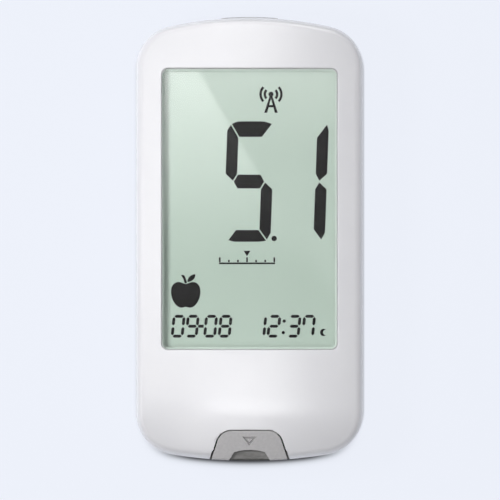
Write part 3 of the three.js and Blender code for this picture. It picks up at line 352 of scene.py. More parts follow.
def polish(material, fac, low, high):
    """Let the roughness vary between two values."""
    nodes, links = material.node_tree.nodes, material.node_tree.links
    scale = nodes.new("ShaderNodeMapRange")
    scale.inputs["From Min"].default_value, scale.inputs["From Max"].default_value = NOISE_LOW, NOISE_HIGH
    scale.inputs["To Min"].default_value, scale.inputs["To Max"].default_value = low, high
    links.new(fac, scale.inputs["Value"])
    links.new(scale.outputs["Result"], nodes["Principled BSDF"].inputs["Roughness"])


def grain(material, fac, height, strength=1.0):
    """Raise the surface by a height in millimetres where the noise is high."""
    nodes, links = material.node_tree.nodes, material.node_tree.links
    bump = nodes.new("ShaderNodeBump")
    bump.inputs["Distance"].default_value = height * MM
    bump.inputs["Strength"].default_value = strength
    links.new(fac, bump.inputs["Height"])
    links.new(bump.outputs["Normal"], nodes["Principled BSDF"].inputs["Normal"])


def wear(piece, material):
    """Give a new piece its finish."""
    piece.data.materials.clear()
    piece.data.materials.append(material)


print("layers of a finish:", [layer.__name__ for layer in (tint, polish, grain)])

# %% [markdown]
# ## The finishes of the case
# The two case halves and the door are pearl-white plastic with a satin gloss. The pad and the buttons
# are a fine matt grey. The port behind the notch is darker. A mould for a glossy white part is polished
# but never perfect, so its grain is kept very low, while the grey parts get a coarser spark-eroded grain.

# %% Pearl white, key grey and port grey
pearl = finish("pearl_white_shell", (0.81, 0.808, 0.835), 0.34, 0.12, IOR=1.49, Coat_Weight=0.9,
               Coat_Roughness=0.14)
tint(pearl, noise(pearl, 9.0), (0.802, 0.8, 0.829), (0.818, 0.816, 0.842))
polish(pearl, noise(pearl, 3.0), 0.3, 0.37)
grain(pearl, noise(pearl, 0.35, 2), 0.0012)

key_grey = finish("key_grey_plastic", (0.53, 0.52, 0.525), 0.5)
tint(key_grey, noise(key_grey, 0.5), (0.505, 0.495, 0.5), (0.555, 0.545, 0.55))
polish(key_grey, noise(key_grey, 1.2), 0.44, 0.56)
grain(key_grey, noise(key_grey, 0.16, 4), 0.012)

port_grey = finish("port_grey_plastic", (0.2, 0.198, 0.194), 0.55)
tint(port_grey, noise(port_grey, 0.7, 5, (0.35, 1, 1)), (0.15, 0.148, 0.142), (0.25, 0.247, 0.24))
grain(port_grey, noise(port_grey, 0.25, 4), 0.02)
print("case finishes", [m.name for m in (pearl, key_grey, port_grey)])

# %% [markdown]
# ## Clear and glassy finishes
# The lens is acrylic. Light has to get through it to the display twice, which is slow and noisy when
# every pass is refracted. So only what the camera looks at bends: rays that carry light or shadow to
# the display go straight through. The thin glass under it hardly shows, so a faint film is enough.
# The rear glass is the opaque pale green ground that the dark segments stand out from.

# %% Lens, display glass and display ground
def see_through(material, rays):
    """Let the named rays pass straight through a finish."""
    nodes, links = material.node_tree.nodes, material.node_tree.links
    path, clear = nodes.new("ShaderNodeLightPath"), nodes.new("ShaderNodeBsdfTransparent")
    surface = nodes["Principled BSDF"].outputs["BSDF"]
    for ray in rays:
        blend = nodes.new("ShaderNodeMixShader")
        links.new(path.outputs[ray], blend.inputs["Fac"])
        links.new(surface, blend.inputs[1])
        links.new(clear.outputs["BSDF"], blend.inputs[2])
        surface = blend.outputs["Shader"]
    links.new(surface, nodes["Material Output"].inputs["Surface"])


clear_lens = finish("clear_lens_acrylic", (0.985, 0.995, 0.988), 0.02, IOR=1.12, Transmission_Weight=1.0)
see_through(clear_lens, ["Is Shadow Ray", "Is Diffuse Ray"])

lens_edge = finish("lens_cut_edge", (0.74, 0.76, 0.75), 0.55, IOR=1.49)
polish(lens_edge, noise(lens_edge, 0.5), 0.48, 0.62)

display_film = finish("display_front_film", (0.2, 0.23, 0.205), 0.08, Alpha=0.03)
polish(display_film, noise(display_film, 2.0), 0.06, 0.12)

display_ground = finish("display_ground", (0.715, 0.86, 0.755), 0.015, IOR=1.8)
tint(display_ground, noise(display_ground, 12.0), (0.707, 0.852, 0.747), (0.723, 0.868, 0.763))
polish(display_ground, noise(display_ground, 4.0), 0.012, 0.02)

segment_black = finish("display_segment", (0.012, 0.009, 0.011), 0.5, Specular_IOR_Level=0.1)
tint(segment_black, noise(segment_black, 1.5), (0.01, 0.008, 0.0095), (0.015, 0.012, 0.014))

reflector = finish("reflector_film", (0.5, 0.59, 0.52), 0.35)
grain(reflector, noise(reflector, 0.3, 4), 0.01)
print("display finishes", [m.name for m in (clear_lens, display_film, display_ground, segment_black)])

# %% [markdown]
# ## Rubber, metal, film and board finishes
# Most of these hide inside the case. They are still finished, because the battery door slides off and
# because the pieces are reused on their own. Rolled steel has grain in one direction, which stretched
# noise gives. Rubber is rough and slightly dusty. The board is laminate under a green solder mask.

# %% Rubber, metal, film and board
foot_rubber = finish("foot_rubber", (0.1, 0.1, 0.105), 0.85)
tint(foot_rubber, noise(foot_rubber, 0.8), (0.08, 0.08, 0.085), (0.125, 0.125, 0.13))
grain(foot_rubber, noise(foot_rubber, 0.12, 4), 0.02)

silicone = finish("conductive_silicone", (0.035, 0.035, 0.045), 0.7)
tint(silicone, noise(silicone, 0.1, 2, (1, 0.01, 0.01)), (0.02, 0.02, 0.024), (0.16, 0.16, 0.17), 0.45, 0.55)

steel = finish("nickel_plated_steel", (0.58, 0.585, 0.6), 0.3, 1.0)
polish(steel, noise(steel, 0.8, 4, (1, 0.15, 1)), 0.2, 0.4)
grain(steel, noise(steel, 0.15, 3, (1, 0.08, 1)), 0.003)

gold = finish("gold_plated_contact", (0.75, 0.56, 0.27), 0.28, 1.0)
polish(gold, noise(gold, 0.4, 3), 0.2, 0.36)

cell_jacket = finish("cell_jacket_film", (0.05, 0.07, 0.1), 0.32, 0.35)
tint(cell_jacket, noise(cell_jacket, 3.0), (0.045, 0.062, 0.09), (0.06, 0.08, 0.115))
cell_band = finish("cell_band_film", (0.5, 0.52, 0.55), 0.35, 0.6)
polish(cell_band, noise(cell_band, 1.0), 0.28, 0.42)

label_film = finish("blank_label_film", (0.66, 0.665, 0.68), 0.6)
tint(label_film, noise(label_film, 0.6, 4), (0.64, 0.645, 0.66), (0.68, 0.685, 0.7))
grain(label_film, noise(label_film, 0.2, 3), 0.004)

tape = finish("lens_tape_film", (0.64, 0.74, 0.67), 0.7)
tint(tape, noise(tape, 0.5), (0.625, 0.725, 0.655), (0.655, 0.755, 0.685))

pale_plastic = finish("pale_frame_plastic", (0.7, 0.71, 0.7), 0.55)
tint(pale_plastic, noise(pale_plastic, 2.0), (0.68, 0.69, 0.68), (0.72, 0.73, 0.72))
grain(pale_plastic, noise(pale_plastic, 0.2, 3), 0.006)

black_plastic = finish("black_part_plastic", (0.02, 0.02, 0.022), 0.5)
tint(black_plastic, noise(black_plastic, 0.3, 4), (0.016, 0.016, 0.018), (0.03, 0.03, 0.032))
grain(black_plastic, noise(black_plastic, 0.1, 4), 0.006)

board = finish("solder_mask_green", (0.015, 0.075, 0.035), 0.35)
tint(board, noise(board, 1.4, 1, (1, 0.35, 1)), (0.01, 0.06, 0.028), (0.024, 0.115, 0.055), 0.47, 0.5)
grain(board, noise(board, 1.4, 1, (1, 0.35, 1)), 0.02)
others = (foot_rubber, silicone, steel, gold, cell_jacket, cell_band, label_film, tape, pale_plastic,
          black_plastic, board)
print("other finishes", [stock.name for stock in others])

# %% [markdown]
# ## Solids that stay as they are
# Flat glass, film, chips and contact plates are already right as solids: a skin over them would add
# faces and no shape. So each of them keeps its mesh and only gets its finish.

# %% Dress the solids that stay as they are
def dress(material, *nodes):
    """Give solids that stay in view their finish."""
    for name in nodes:
        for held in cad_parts[name].material_slots:
            held.material = material


dress(display_film, "lcd_front_glass")
dress(display_ground, "lcd_rear_glass")
dress(reflector, "lcd_reflector")
dress(tape, "lens_tape")
dress(pale_plastic, "lcd_frame")
dress(silicone, "elastomer_strip")
dress(board, "main_board")
dress(black_plastic, "controller_chip", "signal_chip", "sounder", "power_switch", "set_switch")
dress(steel, "wireless_module", "crystal_can", "contact_bridge", "contact_left", "contact_right")
dress(gold, "strip_contact_1", "strip_contact_2", "strip_contact_3")
dress(port_grey, "strip_port", "power_switch_plunger", "set_switch_plunger")
print("display ground on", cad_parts["lcd_rear_glass"].name)
print("solder mask on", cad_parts["main_board"].name)

# %% [markdown]
# ## The front face
# The face isn't flat. It is crowned across its width and its lower end bends away, which is what makes
# the soft step of shade under the window. One function gives its height anywhere, and the skin, its
# inside and the ejector pad all ask that function.

# %% Height of the front face
FACE_TOP, FACE_CROWN, BEND_LENGTH, BEND_RADIUS = 20.9927, 0.9, 13.4, 45.0
PART_LOW, PART_HIGH = 8.85, 9.15
SIDE_WALL, FRONT_SKIN, FRONT_EDGE = 1.8, 1.6, 1.6
SEAT_LOW, SEAT_TOP, LENS_LOW, LENS_TOP = 18.1, 18.9, 19.15, 20.15


def face_height(x, y):
    """The height of the crowned face, which bends away towards its low end."""
    bend = max(0.0, BEND_LENGTH - HALF_LENGTH - y)
    return FACE_TOP - FACE_CROWN * (x / HALF_WIDTH) ** 2 - bend**2 / (2 * BEND_RADIUS)


def on_face(outline, drop=0.0):
    """An outline laid on the face, or below it by a drop."""
    return [(x, y, face_height(x, y) - drop) for x, y in outline]


def between(outer, inner, share):
    """An outline part of the way from one outline to another."""
    return [(a + (c - a) * share, b + (d - b) * share) for (a, b), (c, d) in zip(outer, inner)]


def rounded_edge(radius, steps):
    """Insets and drops that lead up round an outer edge."""
    turns = [math.pi / 2 * i / steps for i in range(steps + 1)]
    return [(radius * (1 - math.cos(t)), radius * (1 - math.sin(t))) for t in turns]


def case_top(x, inset):
    """Y of the crowned top end at a place across it."""
    return top_crown_y + math.sqrt((TOP_CROWN - inset) ** 2 - x**2)


print("face", round(face_height(0, 0), 2), "mm high, and", round(face_height(0, -49), 2), "at its low end")

# %% [markdown]
# ## The ejector pad's outline
# A grey pad fills an opening in the lower end of the face. The opening is the pad's own outline with a
# quarter of a millimetre more all round, so the outline is a function of that margin. It is a trapezium
# with two large round shoulders, and it runs out past the end of the case.

# %% Outline of the pad and of its opening
PAD_TOP, PAD_LOW_Z, PLATE_TOP_Z = -42.3, 18.15, 18.85
PAD_LOW_HALF, PAD_TOP_HALF, PAD_LENGTH, PAD_SHOULDER = 8.52, 6.33, 6.7, 3.28


def pad_outline(margin):
    """The pad's outline with a margin, run out past the end of the case."""
    low_y, top_y = -HALF_LENGTH - 2, PAD_TOP + margin
    slope = (PAD_LOW_HALF - PAD_TOP_HALF) / PAD_LENGTH
    top_half, radius = PAD_TOP_HALF + margin, PAD_SHOULDER + margin
    low_half = top_half + slope * (top_y - low_y)
    lean = math.atan(slope)
    shoulder = top_half - radius * math.tan((math.pi / 2 - lean) / 2)
    right = arc(shoulder, top_y - radius, radius, lean, math.pi / 2, 20)
    left = arc(-shoulder, top_y - radius, radius, math.pi / 2, math.pi - lean, 20)
    return [(-low_half, low_y), (low_half, low_y)] + right + [(shoulder, top_y)] + left[1:]


print(len(pad_outline(0)), "points round the pad")

# %% [markdown]
# ## Screws, buttons and bosses have shared places
# Four screws join the halves. Their bores are in the front shell and their pockets in the rear shell,
# so their places are written once and used for both. The same goes for the feet, the two buttons and
# the gaps that moulded pieces need: a quarter of a millimetre where they slide, a little more elsewhere.

# %% Shared places
SCREWS = [(side * 17.45, y) for y in (-39.6, 42.35) for side in (-1, 1)]
FEET = [(side * 18.5, y) for y in (-30.1, 32.85) for side in (-1, 1)]
BUTTON_Z, BUTTON_HALF_WIDTH, BUTTON_HALF_HEIGHT, BUTTON_CORNER = 16.85, 6.5, 1.8, 1.6
SET_X, SET_Y = 5.5, -9.6473
RUNNING_GAP, FIT_GAP = 0.25, 0.3


def button_outline(margin):
    """The power button's outline, seen from the top end."""
    half_x, half_z = BUTTON_HALF_WIDTH + margin, BUTTON_HALF_HEIGHT + margin
    return round_rectangle((-half_x, half_x), (-half_z, half_z), BUTTON_CORNER + margin, 10, 1, 12)


print("screws at", SCREWS)

# %% [markdown]
# ## The front half of the case
# On the real meter this is one moulding: side walls, a face with a window in it, a ledge that carries
# the lens and a thin lip that drops into the rear half. It could be a block with a hole cut in it, but
# then the face would be one big polygon and would shade badly. So its cross-section is walked once
# round as a closed chain of rings: from the lip up the wall, over the face, down into the window and
# back underneath. The small openings are cut afterwards, where no one sees their facets.

# %% Build the front shell
WINDOW_FILLET = 0.2
LIP_LOW, LIP_INSET, SEAM_EASE = 7.65, 1.05, 0.12
LEDGE_IN, LEDGE_CORNER, SEAT_OUT = 0.6, 0.8, 1.5
front_rings = [level(case_outline(LIP_INSET), LIP_LOW), level(case_outline(LIP_INSET), PART_HIGH)]
front_rings += [level(case_outline(SEAM_EASE), PART_HIGH), level(case_outline(0), PART_HIGH + SEAM_EASE)]
for inset, drop in rounded_edge(FRONT_EDGE, 9):
    front_rings.append(on_face(case_outline(inset), drop))
face_edge = case_outline(FRONT_EDGE)
window_edge = window_outline(WINDOW_FILLET, WINDOW_CORNER + WINDOW_FILLET)
for i in range(1, 21):
    front_rings.append(on_face(between(face_edge, window_edge, i / 20)))
for inset, drop in reversed(rounded_edge(WINDOW_FILLET, 5)[:-1]):
    front_rings.append(on_face(window_outline(inset, WINDOW_CORNER + inset), drop))
inner_edge, seat_edge = case_outline(SIDE_WALL), window_outline(SEAT_OUT, WINDOW_CORNER)
ledge = window_outline(-LEDGE_IN, LEDGE_CORNER)
front_rings += [level(window_outline(0, WINDOW_CORNER), SEAT_TOP), level(ledge, SEAT_TOP)]
front_rings += [level(ledge, SEAT_LOW), level(seat_edge, SEAT_LOW)]
for i in range(9):
    front_rings.append(on_face(between(seat_edge, inner_edge, i / 8), FRONT_SKIN))
front_rings.append(level(inner_edge, LIP_LOW))
front_shell = stack("front_shell", front_rings, closed=True)
print("front shell", len(front_shell.data.polygons), "faces in", len(front_rings), "rings")

# %% [markdown]
# ## Bosses, ribs and openings of the front half
# Inside a moulded cover stand round bosses for the screws and two ribs that guide the slider. Openings let
# the pad, the port and the power button through. Each of them is a plain block, post or prism that is joined
# on or cut out, so its place stays easy to read. A narrow slit round the pad goes deeper than the pad itself,
# because its shade draws the dark line round the pad. The slit's floor and the lip under the port are also
# painted dark grey as painted shade, so no pale strip shows in them.

# %% Add the bosses and ribs, and open the face
BOSS_RADIUS, BOSS_LOW, BOSS_TOP, SHANK_BORE, OPENING_EASE = 2.35, 15.7, FACE_TOP - FRONT_SKIN, 1.15, 0.07
PLATE_PATH_HALF, RIB_OUTSIDE, RIB_LOW_Y, RIB_TOP_Y = 8.25, 9.15, -43.1, -38.9
SLIT_FLOOR, PATH_LOW, ABOVE_FACE, BUTTON_HOLE_Y = 15.5, 17.9, 23, 45.207
SLIT_INSIDE, SLIT_OUTSIDE, SLIT_END, CORE_END = 0.03, 0.36, -46.8, -50
PORT_HALF, PORT_END, PORT_LOW, PORT_TOP = 5.55, -37.5, 15.2, 18.15
PATH_FRONT, PATH_END = -47.35, -29.15
added = [post("boss", x, y, BOSS_RADIUS, (BOSS_LOW, BOSS_TOP)) for x, y in SCREWS]
for side in (-1, 1):
    across = sorted((side * PLATE_PATH_HALF, side * RIB_OUTSIDE))
    added.append(block("rib", across, (RIB_LOW_Y, RIB_TOP_Y), (PATH_LOW, BOSS_TOP)))


def along_y(name, outline, y, middle_z=BUTTON_Z):
    """A body with its outline across the case and its length along it."""
    return stack(name, [[(x, end, middle_z + z) for x, z in outline] for end in y])


pad_gap = prism("pad_gap", pad_outline(SLIT_OUTSIDE), (SLIT_FLOOR, ABOVE_FACE))
past_slit = (SLIT_FLOOR - 0.5, ABOVE_FACE + 1)
core = [(x, y - 1) if y < CORE_END else (x, y) for x, y in pad_outline(SLIT_INSIDE)]
upper_gap = block("upper_gap", (-12, 12), (SLIT_END, -38), past_slit)
carve(pad_gap, cuts=[prism("pad_core", core, past_slit), upper_gap])
taken = [
    prism("pad_opening", pad_outline(RUNNING_GAP), (PATH_LOW, ABOVE_FACE)),
    pad_gap,
    block("port_opening", (-PORT_HALF, PORT_HALF), (-HALF_LENGTH - 2, PORT_END), (PORT_LOW, PORT_TOP)),
    block("plate_path", (-PLATE_PATH_HALF, PLATE_PATH_HALF), (PATH_FRONT, PATH_END),
          (PATH_LOW, PLATE_TOP_Z + RUNNING_GAP)),
    along_y("button_hole", button_outline(RUNNING_GAP), (BUTTON_HOLE_Y, HALF_LENGTH + 2)),
]
taken += [post("screw_bore", x, y, SHANK_BORE, (13, 18.6), 32) for x, y in SCREWS]
carve(front_shell, joins=added, cuts=taken)


def on_pad_opening(x, y, z):
    """True at the edges of the pad's opening and of the power button's hole."""
    return y < PAD_TOP + 1 and abs(x) < 9.3 and z > 18.4 or y > 47 and abs(x) < 7 and z > 14.5


print("eased", ease_edges(front_shell, OPENING_EASE, on_pad_opening), "edges")
wear(front_shell, pearl)
front_shell.data.materials.append(port_grey)
for face in front_shell.data.polygons:
    # painted shade: the lip under the port and the floor of the slit take the port's dark grey, so they stay
    # as dark as the shade round the pad
    x, y, z = face.center / MM
    lip_painted_dark = abs(x) < 5.6 and y < -46.9 and 14 < z < 15.25
    slit_floor_painted_dark = abs(x) > 6 and y < -45.5 and 15.4 < z < 15.6
    if face.normal.z > 0.9 and (lip_painted_dark or slit_floor_painted_dark):
        face.material_index = 1
place_piece(front_shell, "case", "white_shell", "front_cover")

# %% [markdown]
# ## The strip ejector
# The pad is what a finger pushes. It is cut from the same crowned body as the face, so its top flows on
# from the white around it. A notch in its end shows the port, where the test strip goes in, and an
# engraved triangle shows which way it moves. Behind it a thin plate and an arm run under the face to
# the return spring, and the plate still closes the opening when the pad is pushed right out. The
# engraving is a real groove, because bump alone would vanish at its edges.

# %% Build the ejector
NOTCH_HALF, NOTCH_TOP_HALF, NOTCH_SHOULDER, NOTCH_LENGTH = 4.6, 3.4, 1.95, 2.46
ARROW_WIDTH, ARROW_LENGTH, ARROW_LINE, ARROW_DEPTH, ARROW_TO_TOP = 3.2, 2.0, 0.5, 0.55, 1.3
PAD_INSET, PAD_EDGE, PAD_EASE, PLATE_BEFORE, PLATE_BEHIND, ARM_END = 0.02, 0.45, 0.1, 0.8, 4.45, -29.4

body_rings = [level(case_outline(PAD_INSET), PART_HIGH)]
body_rings += [on_face(case_outline(PAD_INSET + inset), drop) for inset, drop in rounded_edge(PAD_EDGE, 6)]
for share in (0.985, 0.96, 0.92, 0.88, 0.84, 0.8, 0.6, 0.3):
    body_rings.append(on_face([(x * share, y * share) for x, y in case_outline(PAD_INSET + PAD_EDGE)]))


def notch_outline():
    """The notch for a strip: sloping sides up to a crowned end."""
    slope = (NOTCH_HALF - NOTCH_TOP_HALF) / NOTCH_SHOULDER
    rise = NOTCH_LENGTH - NOTCH_SHOULDER
    radius = (NOTCH_TOP_HALF**2 + rise**2) / (2 * rise)
    half = math.asin(NOTCH_TOP_HALF / radius)
    crown = arc(0, NOTCH_LENGTH - HALF_LENGTH - radius, radius, math.pi / 2 - half, math.pi / 2 + half, 24)
    wide = NOTCH_HALF + 2 * slope
    end = (-NOTCH_TOP_HALF, NOTCH_SHOULDER - HALF_LENGTH)
    return [(-wide, -HALF_LENGTH - 2), (wide, -HALF_LENGTH - 2)] + crown + [end]


def arrow_groove():
    """The triangle's outline as a closed groove with sloping sides, cut along the face."""
    top_y = PAD_TOP - ARROW_TO_TOP
    tip_y = top_y - ARROW_LENGTH
    slope = ARROW_WIDTH / 2 / ARROW_LENGTH
    outer = [(-ARROW_WIDTH / 2, top_y), (0, tip_y), (ARROW_WIDTH / 2, top_y)]
    inner_top, inner_tip = top_y - ARROW_LINE, tip_y + ARROW_LINE / math.sin(math.atan(slope))
    inner_half = (inner_top - inner_tip) * slope
    inner = [(-inner_half, inner_top), (0, inner_tip), (inner_half, inner_top)]
    bottom, above = on_face(between(outer, inner, 0.5), ARROW_DEPTH), -0.8
    sides = [on_face(outer), on_face(outer, above), on_face(inner, above), on_face(inner)]
    return stack("arrow", [bottom] + sides, closed=True)


ejector = prism("ejector_pad", pad_outline(0), (PAD_LOW_Z, ABOVE_FACE))
carve(ejector, keeps=[stack("crowned_body", body_rings)])
carve(ejector, cuts=[prism("notch", notch_outline(), (16, ABOVE_FACE))])


def on_pad_rim(x, y, z):
    """True at the pad's upper edges."""
    return z > PAD_LOW_Z + 0.3


print("eased", ease_edges(ejector, PAD_EASE, on_pad_rim), "edges")
# half width, length along the case and lowest height of what runs under the face
behind_pad = {"plate": (8, (PAD_TOP - PLATE_BEFORE, PAD_TOP + PLATE_BEHIND), PAD_LOW_Z),
              "arm": (3, (PAD_TOP, ARM_END), PAD_LOW_Z),
              "lug": (1.8, (ARM_END - 0.8, ARM_END), 15.75),
              "pusher": (0.9, (-39.6, -38.6), 16.75)}
blocks = [block(name, (-half, half), y, (low, PLATE_TOP_Z)) for name, (half, y, low) in behind_pad.items()]
carve(ejector, cuts=[arrow_groove()], joins=blocks)
wear(ejector, key_grey)
place_piece(ejector, "ejector", "grey_plastic", "ejector_slider")

# %% [markdown]
# ## The return spring
# The spring stands between the port and the lug behind the pad, and gets shorter as the pad is pushed out. A
# curve with a round bevel could draw it, but would have to be turned into a mesh later. So rings are set
# across a helix, as wire is wound on a mandrel.

# %% Wind the return spring
def wire(name, path, radius, sides=10):
    """A round wire that follows a path, with flat ends."""
    rings = []
    for i, point in enumerate(path):
        ahead, behind = path[min(i + 1, len(path) - 1)], path[max(i - 1, 0)]
        run = (Vector(ahead) - Vector(behind)).normalized()
        across = run.cross(Vector((0, 1, 0))).normalized()
        up = across.cross(run)
        ring = []
        for k in range(sides):
            t = 2 * math.pi * k / sides
            ring.append(tuple(Vector(point) + radius * (math.cos(t) * across + math.sin(t) * up)))
        rings.append(ring)
    return stack(name, rings)


turns, turn_steps, spring_seat, spring_length, push = 6, 24, PORT_END + 0.1, 7.1, 4.0
coil_radius, coil_z, coil_wire = 0.95, 16.8, 0.15
spring_path = []
for i in range(turns * turn_steps + 1):
    share, t = i / (turns * turn_steps), 2 * math.pi * i / turn_steps
    run = spring_seat + coil_wire + (spring_length - 2 * coil_wire) * share
    spring_path.append((coil_radius * math.cos(t), run, coil_z + coil_radius * math.sin(t)))
ejector_spring = wire("ejector_return_spring", spring_path, coil_wire)
wear(ejector_spring, steel)
place_piece(ejector_spring, "case", "steel", "ejector_spring")
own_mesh(ejector_spring)

# %% [markdown]
# ## The rear half of the case
# The rear half is a shallow pan with a rounded edge, and inside it a tray for two cells. It is made as
# its mould would be: an outer pan less an inner pan, then tracks for the door, the tray and the bosses
# are joined on, and the pockets are cut last. A ring just inside the flat of the back keeps the
# rounding's shading from spreading over it.

# %% Measures of the battery bay and its door
REAR_FACE, REAR_EDGE, REAR_DRAFT, REAR_FLOOR, DOOR_INSIDE = 0.6, 3.0, 0.3, 1.8, 2.0
BAY_HALF, BAY_OUTER, DOOR_HALF, FLANGE_HALF, GROOVE_HALF, TRACK_HALF = 10.95, 12.15, 13.5, 14.5, 14.75, 15.75
BAY_LOW, BAY_TOP, BAY_TOP_OUTER, DOOR_LOW = -4.4473, 44.5527, 45.7527, -13.6473
END_WALL = case_top(DOOR_HALF, SIDE_WALL)
FLANGE_LOW, FLANGE_TOP, TRACK_LOW, TRACK_TOP = 2.05, 2.95, 3.2, 4.2
CELL_X, CELL_Z, BAY_CEILING, BAY_ROOF = 5.4, 7.55, 13.1, 14.1
TOP_CONTACT, LOW_CONTACT = 44.1527, -4.3473
LABEL_TO_DOOR, LABEL_HALF_WIDTH, LABEL_LENGTH, LABEL_CORNER = 4, 12, 12, 1.5
FAR_END, BELOW, ABOVE_SEAM = HALF_LENGTH + 2, -2, PART_LOW + 2
print("door", round(END_WALL - DOOR_LOW, 1), "mm to its end wall")

# %% [markdown]
# ## Outlines that the rear half and the door share
# The pan, its hollow and the rebate for the front's lip are needed twice, once for the case and once for
# the door that is cut from the same form. The label's outline is needed for the label and its pocket.

# %% Pan, hollow, rebate and label outline
RING_TO_FLAT, INNER_EDGE, LIP_OVERLAP = 0.4, 1.8, 1.5


def pan(name, inset, radius, low, high):
    """A shallow pan: a flat, a rounded edge and a slightly drafted wall."""
    rings = [level(case_outline(inset + REAR_DRAFT + radius + RING_TO_FLAT), low)]
    for run, drop in reversed(rounded_edge(radius, 9)):
        rings.append(level(case_outline(inset + REAR_DRAFT + run), low + drop))
    return stack(name, rings + [level(case_outline(inset), high)])


def rear_hollow(floor):
    """The space inside the pan, above a floor."""
    return pan("rear_hollow", SIDE_WALL, INNER_EDGE, floor, ABOVE_SEAM)


def lip_rebate():
    """The step at the seam that takes the front half's lip."""
    return prism("lip_rebate", case_outline(SIDE_WALL / 2), (PART_LOW - LIP_OVERLAP, ABOVE_SEAM))


def label_outline(margin):
    """The label's outline with a margin."""
    top_y = DOOR_LOW - LABEL_TO_DOOR + margin
    half = LABEL_HALF_WIDTH + margin
    return round_rectangle((-half, half), (top_y - LABEL_LENGTH - 2 * margin, top_y), LABEL_CORNER, 12)


print("label", 2 * LABEL_HALF_WIDTH, "x", LABEL_LENGTH, "mm")

# %% [markdown]
# ## The rear half, put together
# First everything that stands on the inside is made and trimmed to the space inside the walls. Then the
# pan is hollowed and the tracks, the space for the door, the tray and the pockets follow in the order in
# which a later one cuts into an earlier one.

# %% Put the tracks and the tray together
REAR_BOSS, TRACK_END, TRAY_WALL, TRAY_LOW = 2.45, 1, 1.2, 2.3
TAB_HALF, TAB_FRONT, TAB_BACK, TAB_TOP = 1.125, 0.125, 0.425, 16.1
inside = prism("inside_of_walls", case_outline(SIDE_WALL), (REAR_FACE, FACE_TOP))
above = prism("above", case_outline(SIDE_WALL), (LIP_LOW, FACE_TOP))
carve(inside, keeps=[carve(pan("rear_body", 0, REAR_EDGE, REAR_FACE, PART_LOW), joins=[above])])

track_low = DOOR_LOW - FIT_GAP - TRACK_END
tracks = block("door_track", (-TRACK_HALF, TRACK_HALF), (track_low, BAY_TOP_OUTER), (TRACK_LOW, TRACK_TOP))
ribs, rib_height = [], (REAR_FACE, TRACK_TOP)
for side in (-1, 1):
    across = sorted((side * GROOVE_HALF, side * TRACK_HALF))
    ribs.append(block("rib", across, (track_low, BAY_TOP_OUTER), rib_height))
ribs.append(block("end_rib", (-TRACK_HALF, TRACK_HALF), (track_low, track_low + TRACK_END), rib_height))
ribs += [post("boss", x, y, REAR_BOSS, (REAR_FACE, BAY_ROOF)) for x, y in SCREWS]
opening = block("cell_opening", (-BAY_HALF, BAY_HALF), (BAY_LOW, BAY_TOP), (TRACK_LOW - 2, TRACK_TOP + 2))
carve(tracks, joins=ribs, cuts=[opening])
carve(tracks, keeps=[inside])

tray = block("tray", (-BAY_OUTER, BAY_OUTER), (BAY_LOW - TRAY_WALL, BAY_TOP_OUTER), (TRAY_LOW, BAY_ROOF))
bay_and_slots = [block("bay", (-BAY_HALF, BAY_HALF), (BAY_LOW, BAY_TOP), (REAR_FACE, BAY_CEILING))]
for x, y in ((0, TOP_CONTACT), (-CELL_X, LOW_CONTACT), (CELL_X, LOW_CONTACT)):
    across, along = (x - TAB_HALF, x + TAB_HALF), (y - TAB_FRONT, y + TAB_BACK)
    bay_and_slots.append(block("tab_slot", across, along, (CELL_Z, TAB_TOP)))
carve(tray, cuts=bay_and_slots)
print("tracks", len(tracks.data.polygons), "faces, tray", len(tray.data.polygons), "faces")

# %% [markdown]
# ## Spaces for the door, the screws and the feet
# What a piece slides or sinks into is a body too, a little larger than the piece: a quarter of a
# millimetre where the door slides, less round the rubber feet, which are pressed in.

# %% Build the rear shell
SLEEVE_BORE, SLEEVE_OUTSIDE, SLEEVE_TOP = 1.75, 2.65, 9.0
HEAD_POCKET, HEAD_FLOOR, FOOT_POCKET, FOOT_FLOOR, LABEL_SUNK = 1.85, 7.6, 2.55, 0.5, 0.25
side_gap, low_gap = DOOR_HALF + RUNNING_GAP, DOOR_LOW - RUNNING_GAP
door_space = [
    block("door_gap", (-side_gap, side_gap), (low_gap, FAR_END), (BELOW, TRACK_LOW)),
    block("flange_gap", (-GROOVE_HALF, GROOVE_HALF), (low_gap, FAR_END), (REAR_FLOOR, TRACK_LOW)),
    block("end_gap", (-side_gap, side_gap), (BAY_TOP_OUTER, FAR_END), (BELOW, ABOVE_SEAM)),
]
pockets = [post("sleeve_bore", SET_X, SET_Y, SLEEVE_BORE, (REAR_FACE, BAY_ROOF))]
pockets += [post("head_pocket", x, y, HEAD_POCKET, (BELOW, HEAD_FLOOR)) for x, y in SCREWS]
pockets += [post("shank_bore", x, y, SHANK_BORE, (5, 17), 32) for x, y in SCREWS]
pockets += [post("foot_pocket", x, y, FOOT_POCKET, (BELOW, REAR_FACE + FOOT_FLOOR)) for x, y in FEET]
pockets.append(prism("label_pocket", label_outline(RUNNING_GAP), (BELOW, REAR_FACE + LABEL_SUNK)))

rear_shell = pan("rear_shell", 0, REAR_EDGE, REAR_FACE, PART_LOW)
carve(rear_shell, cuts=[rear_hollow(REAR_FLOOR), lip_rebate()])
carve(rear_shell, joins=[tracks])
carve(rear_shell, cuts=door_space)
carve(rear_shell, joins=[tray, post("sleeve", SET_X, SET_Y, SLEEVE_OUTSIDE, (TRACK_LOW, SLEEVE_TOP))])
carve(rear_shell, cuts=pockets)


def on_back(x, y, z):
    """True at edges in the flat back."""
    return z < REAR_FACE + 0.02


BACK_EASE = 0.15
print("eased", ease_edges(rear_shell, BACK_EASE, on_back), "edges")
wear(rear_shell, pearl)
place_piece(rear_shell, "case", "white_shell", "rear_cover")

# %% [markdown]
# ## The battery door
# The door is a slice of the same pan, so its back, its rounded end and its seam line up with the case.
# Two rails with flanges hang it in the tracks. Five rounded grooves give a thumb something to push.

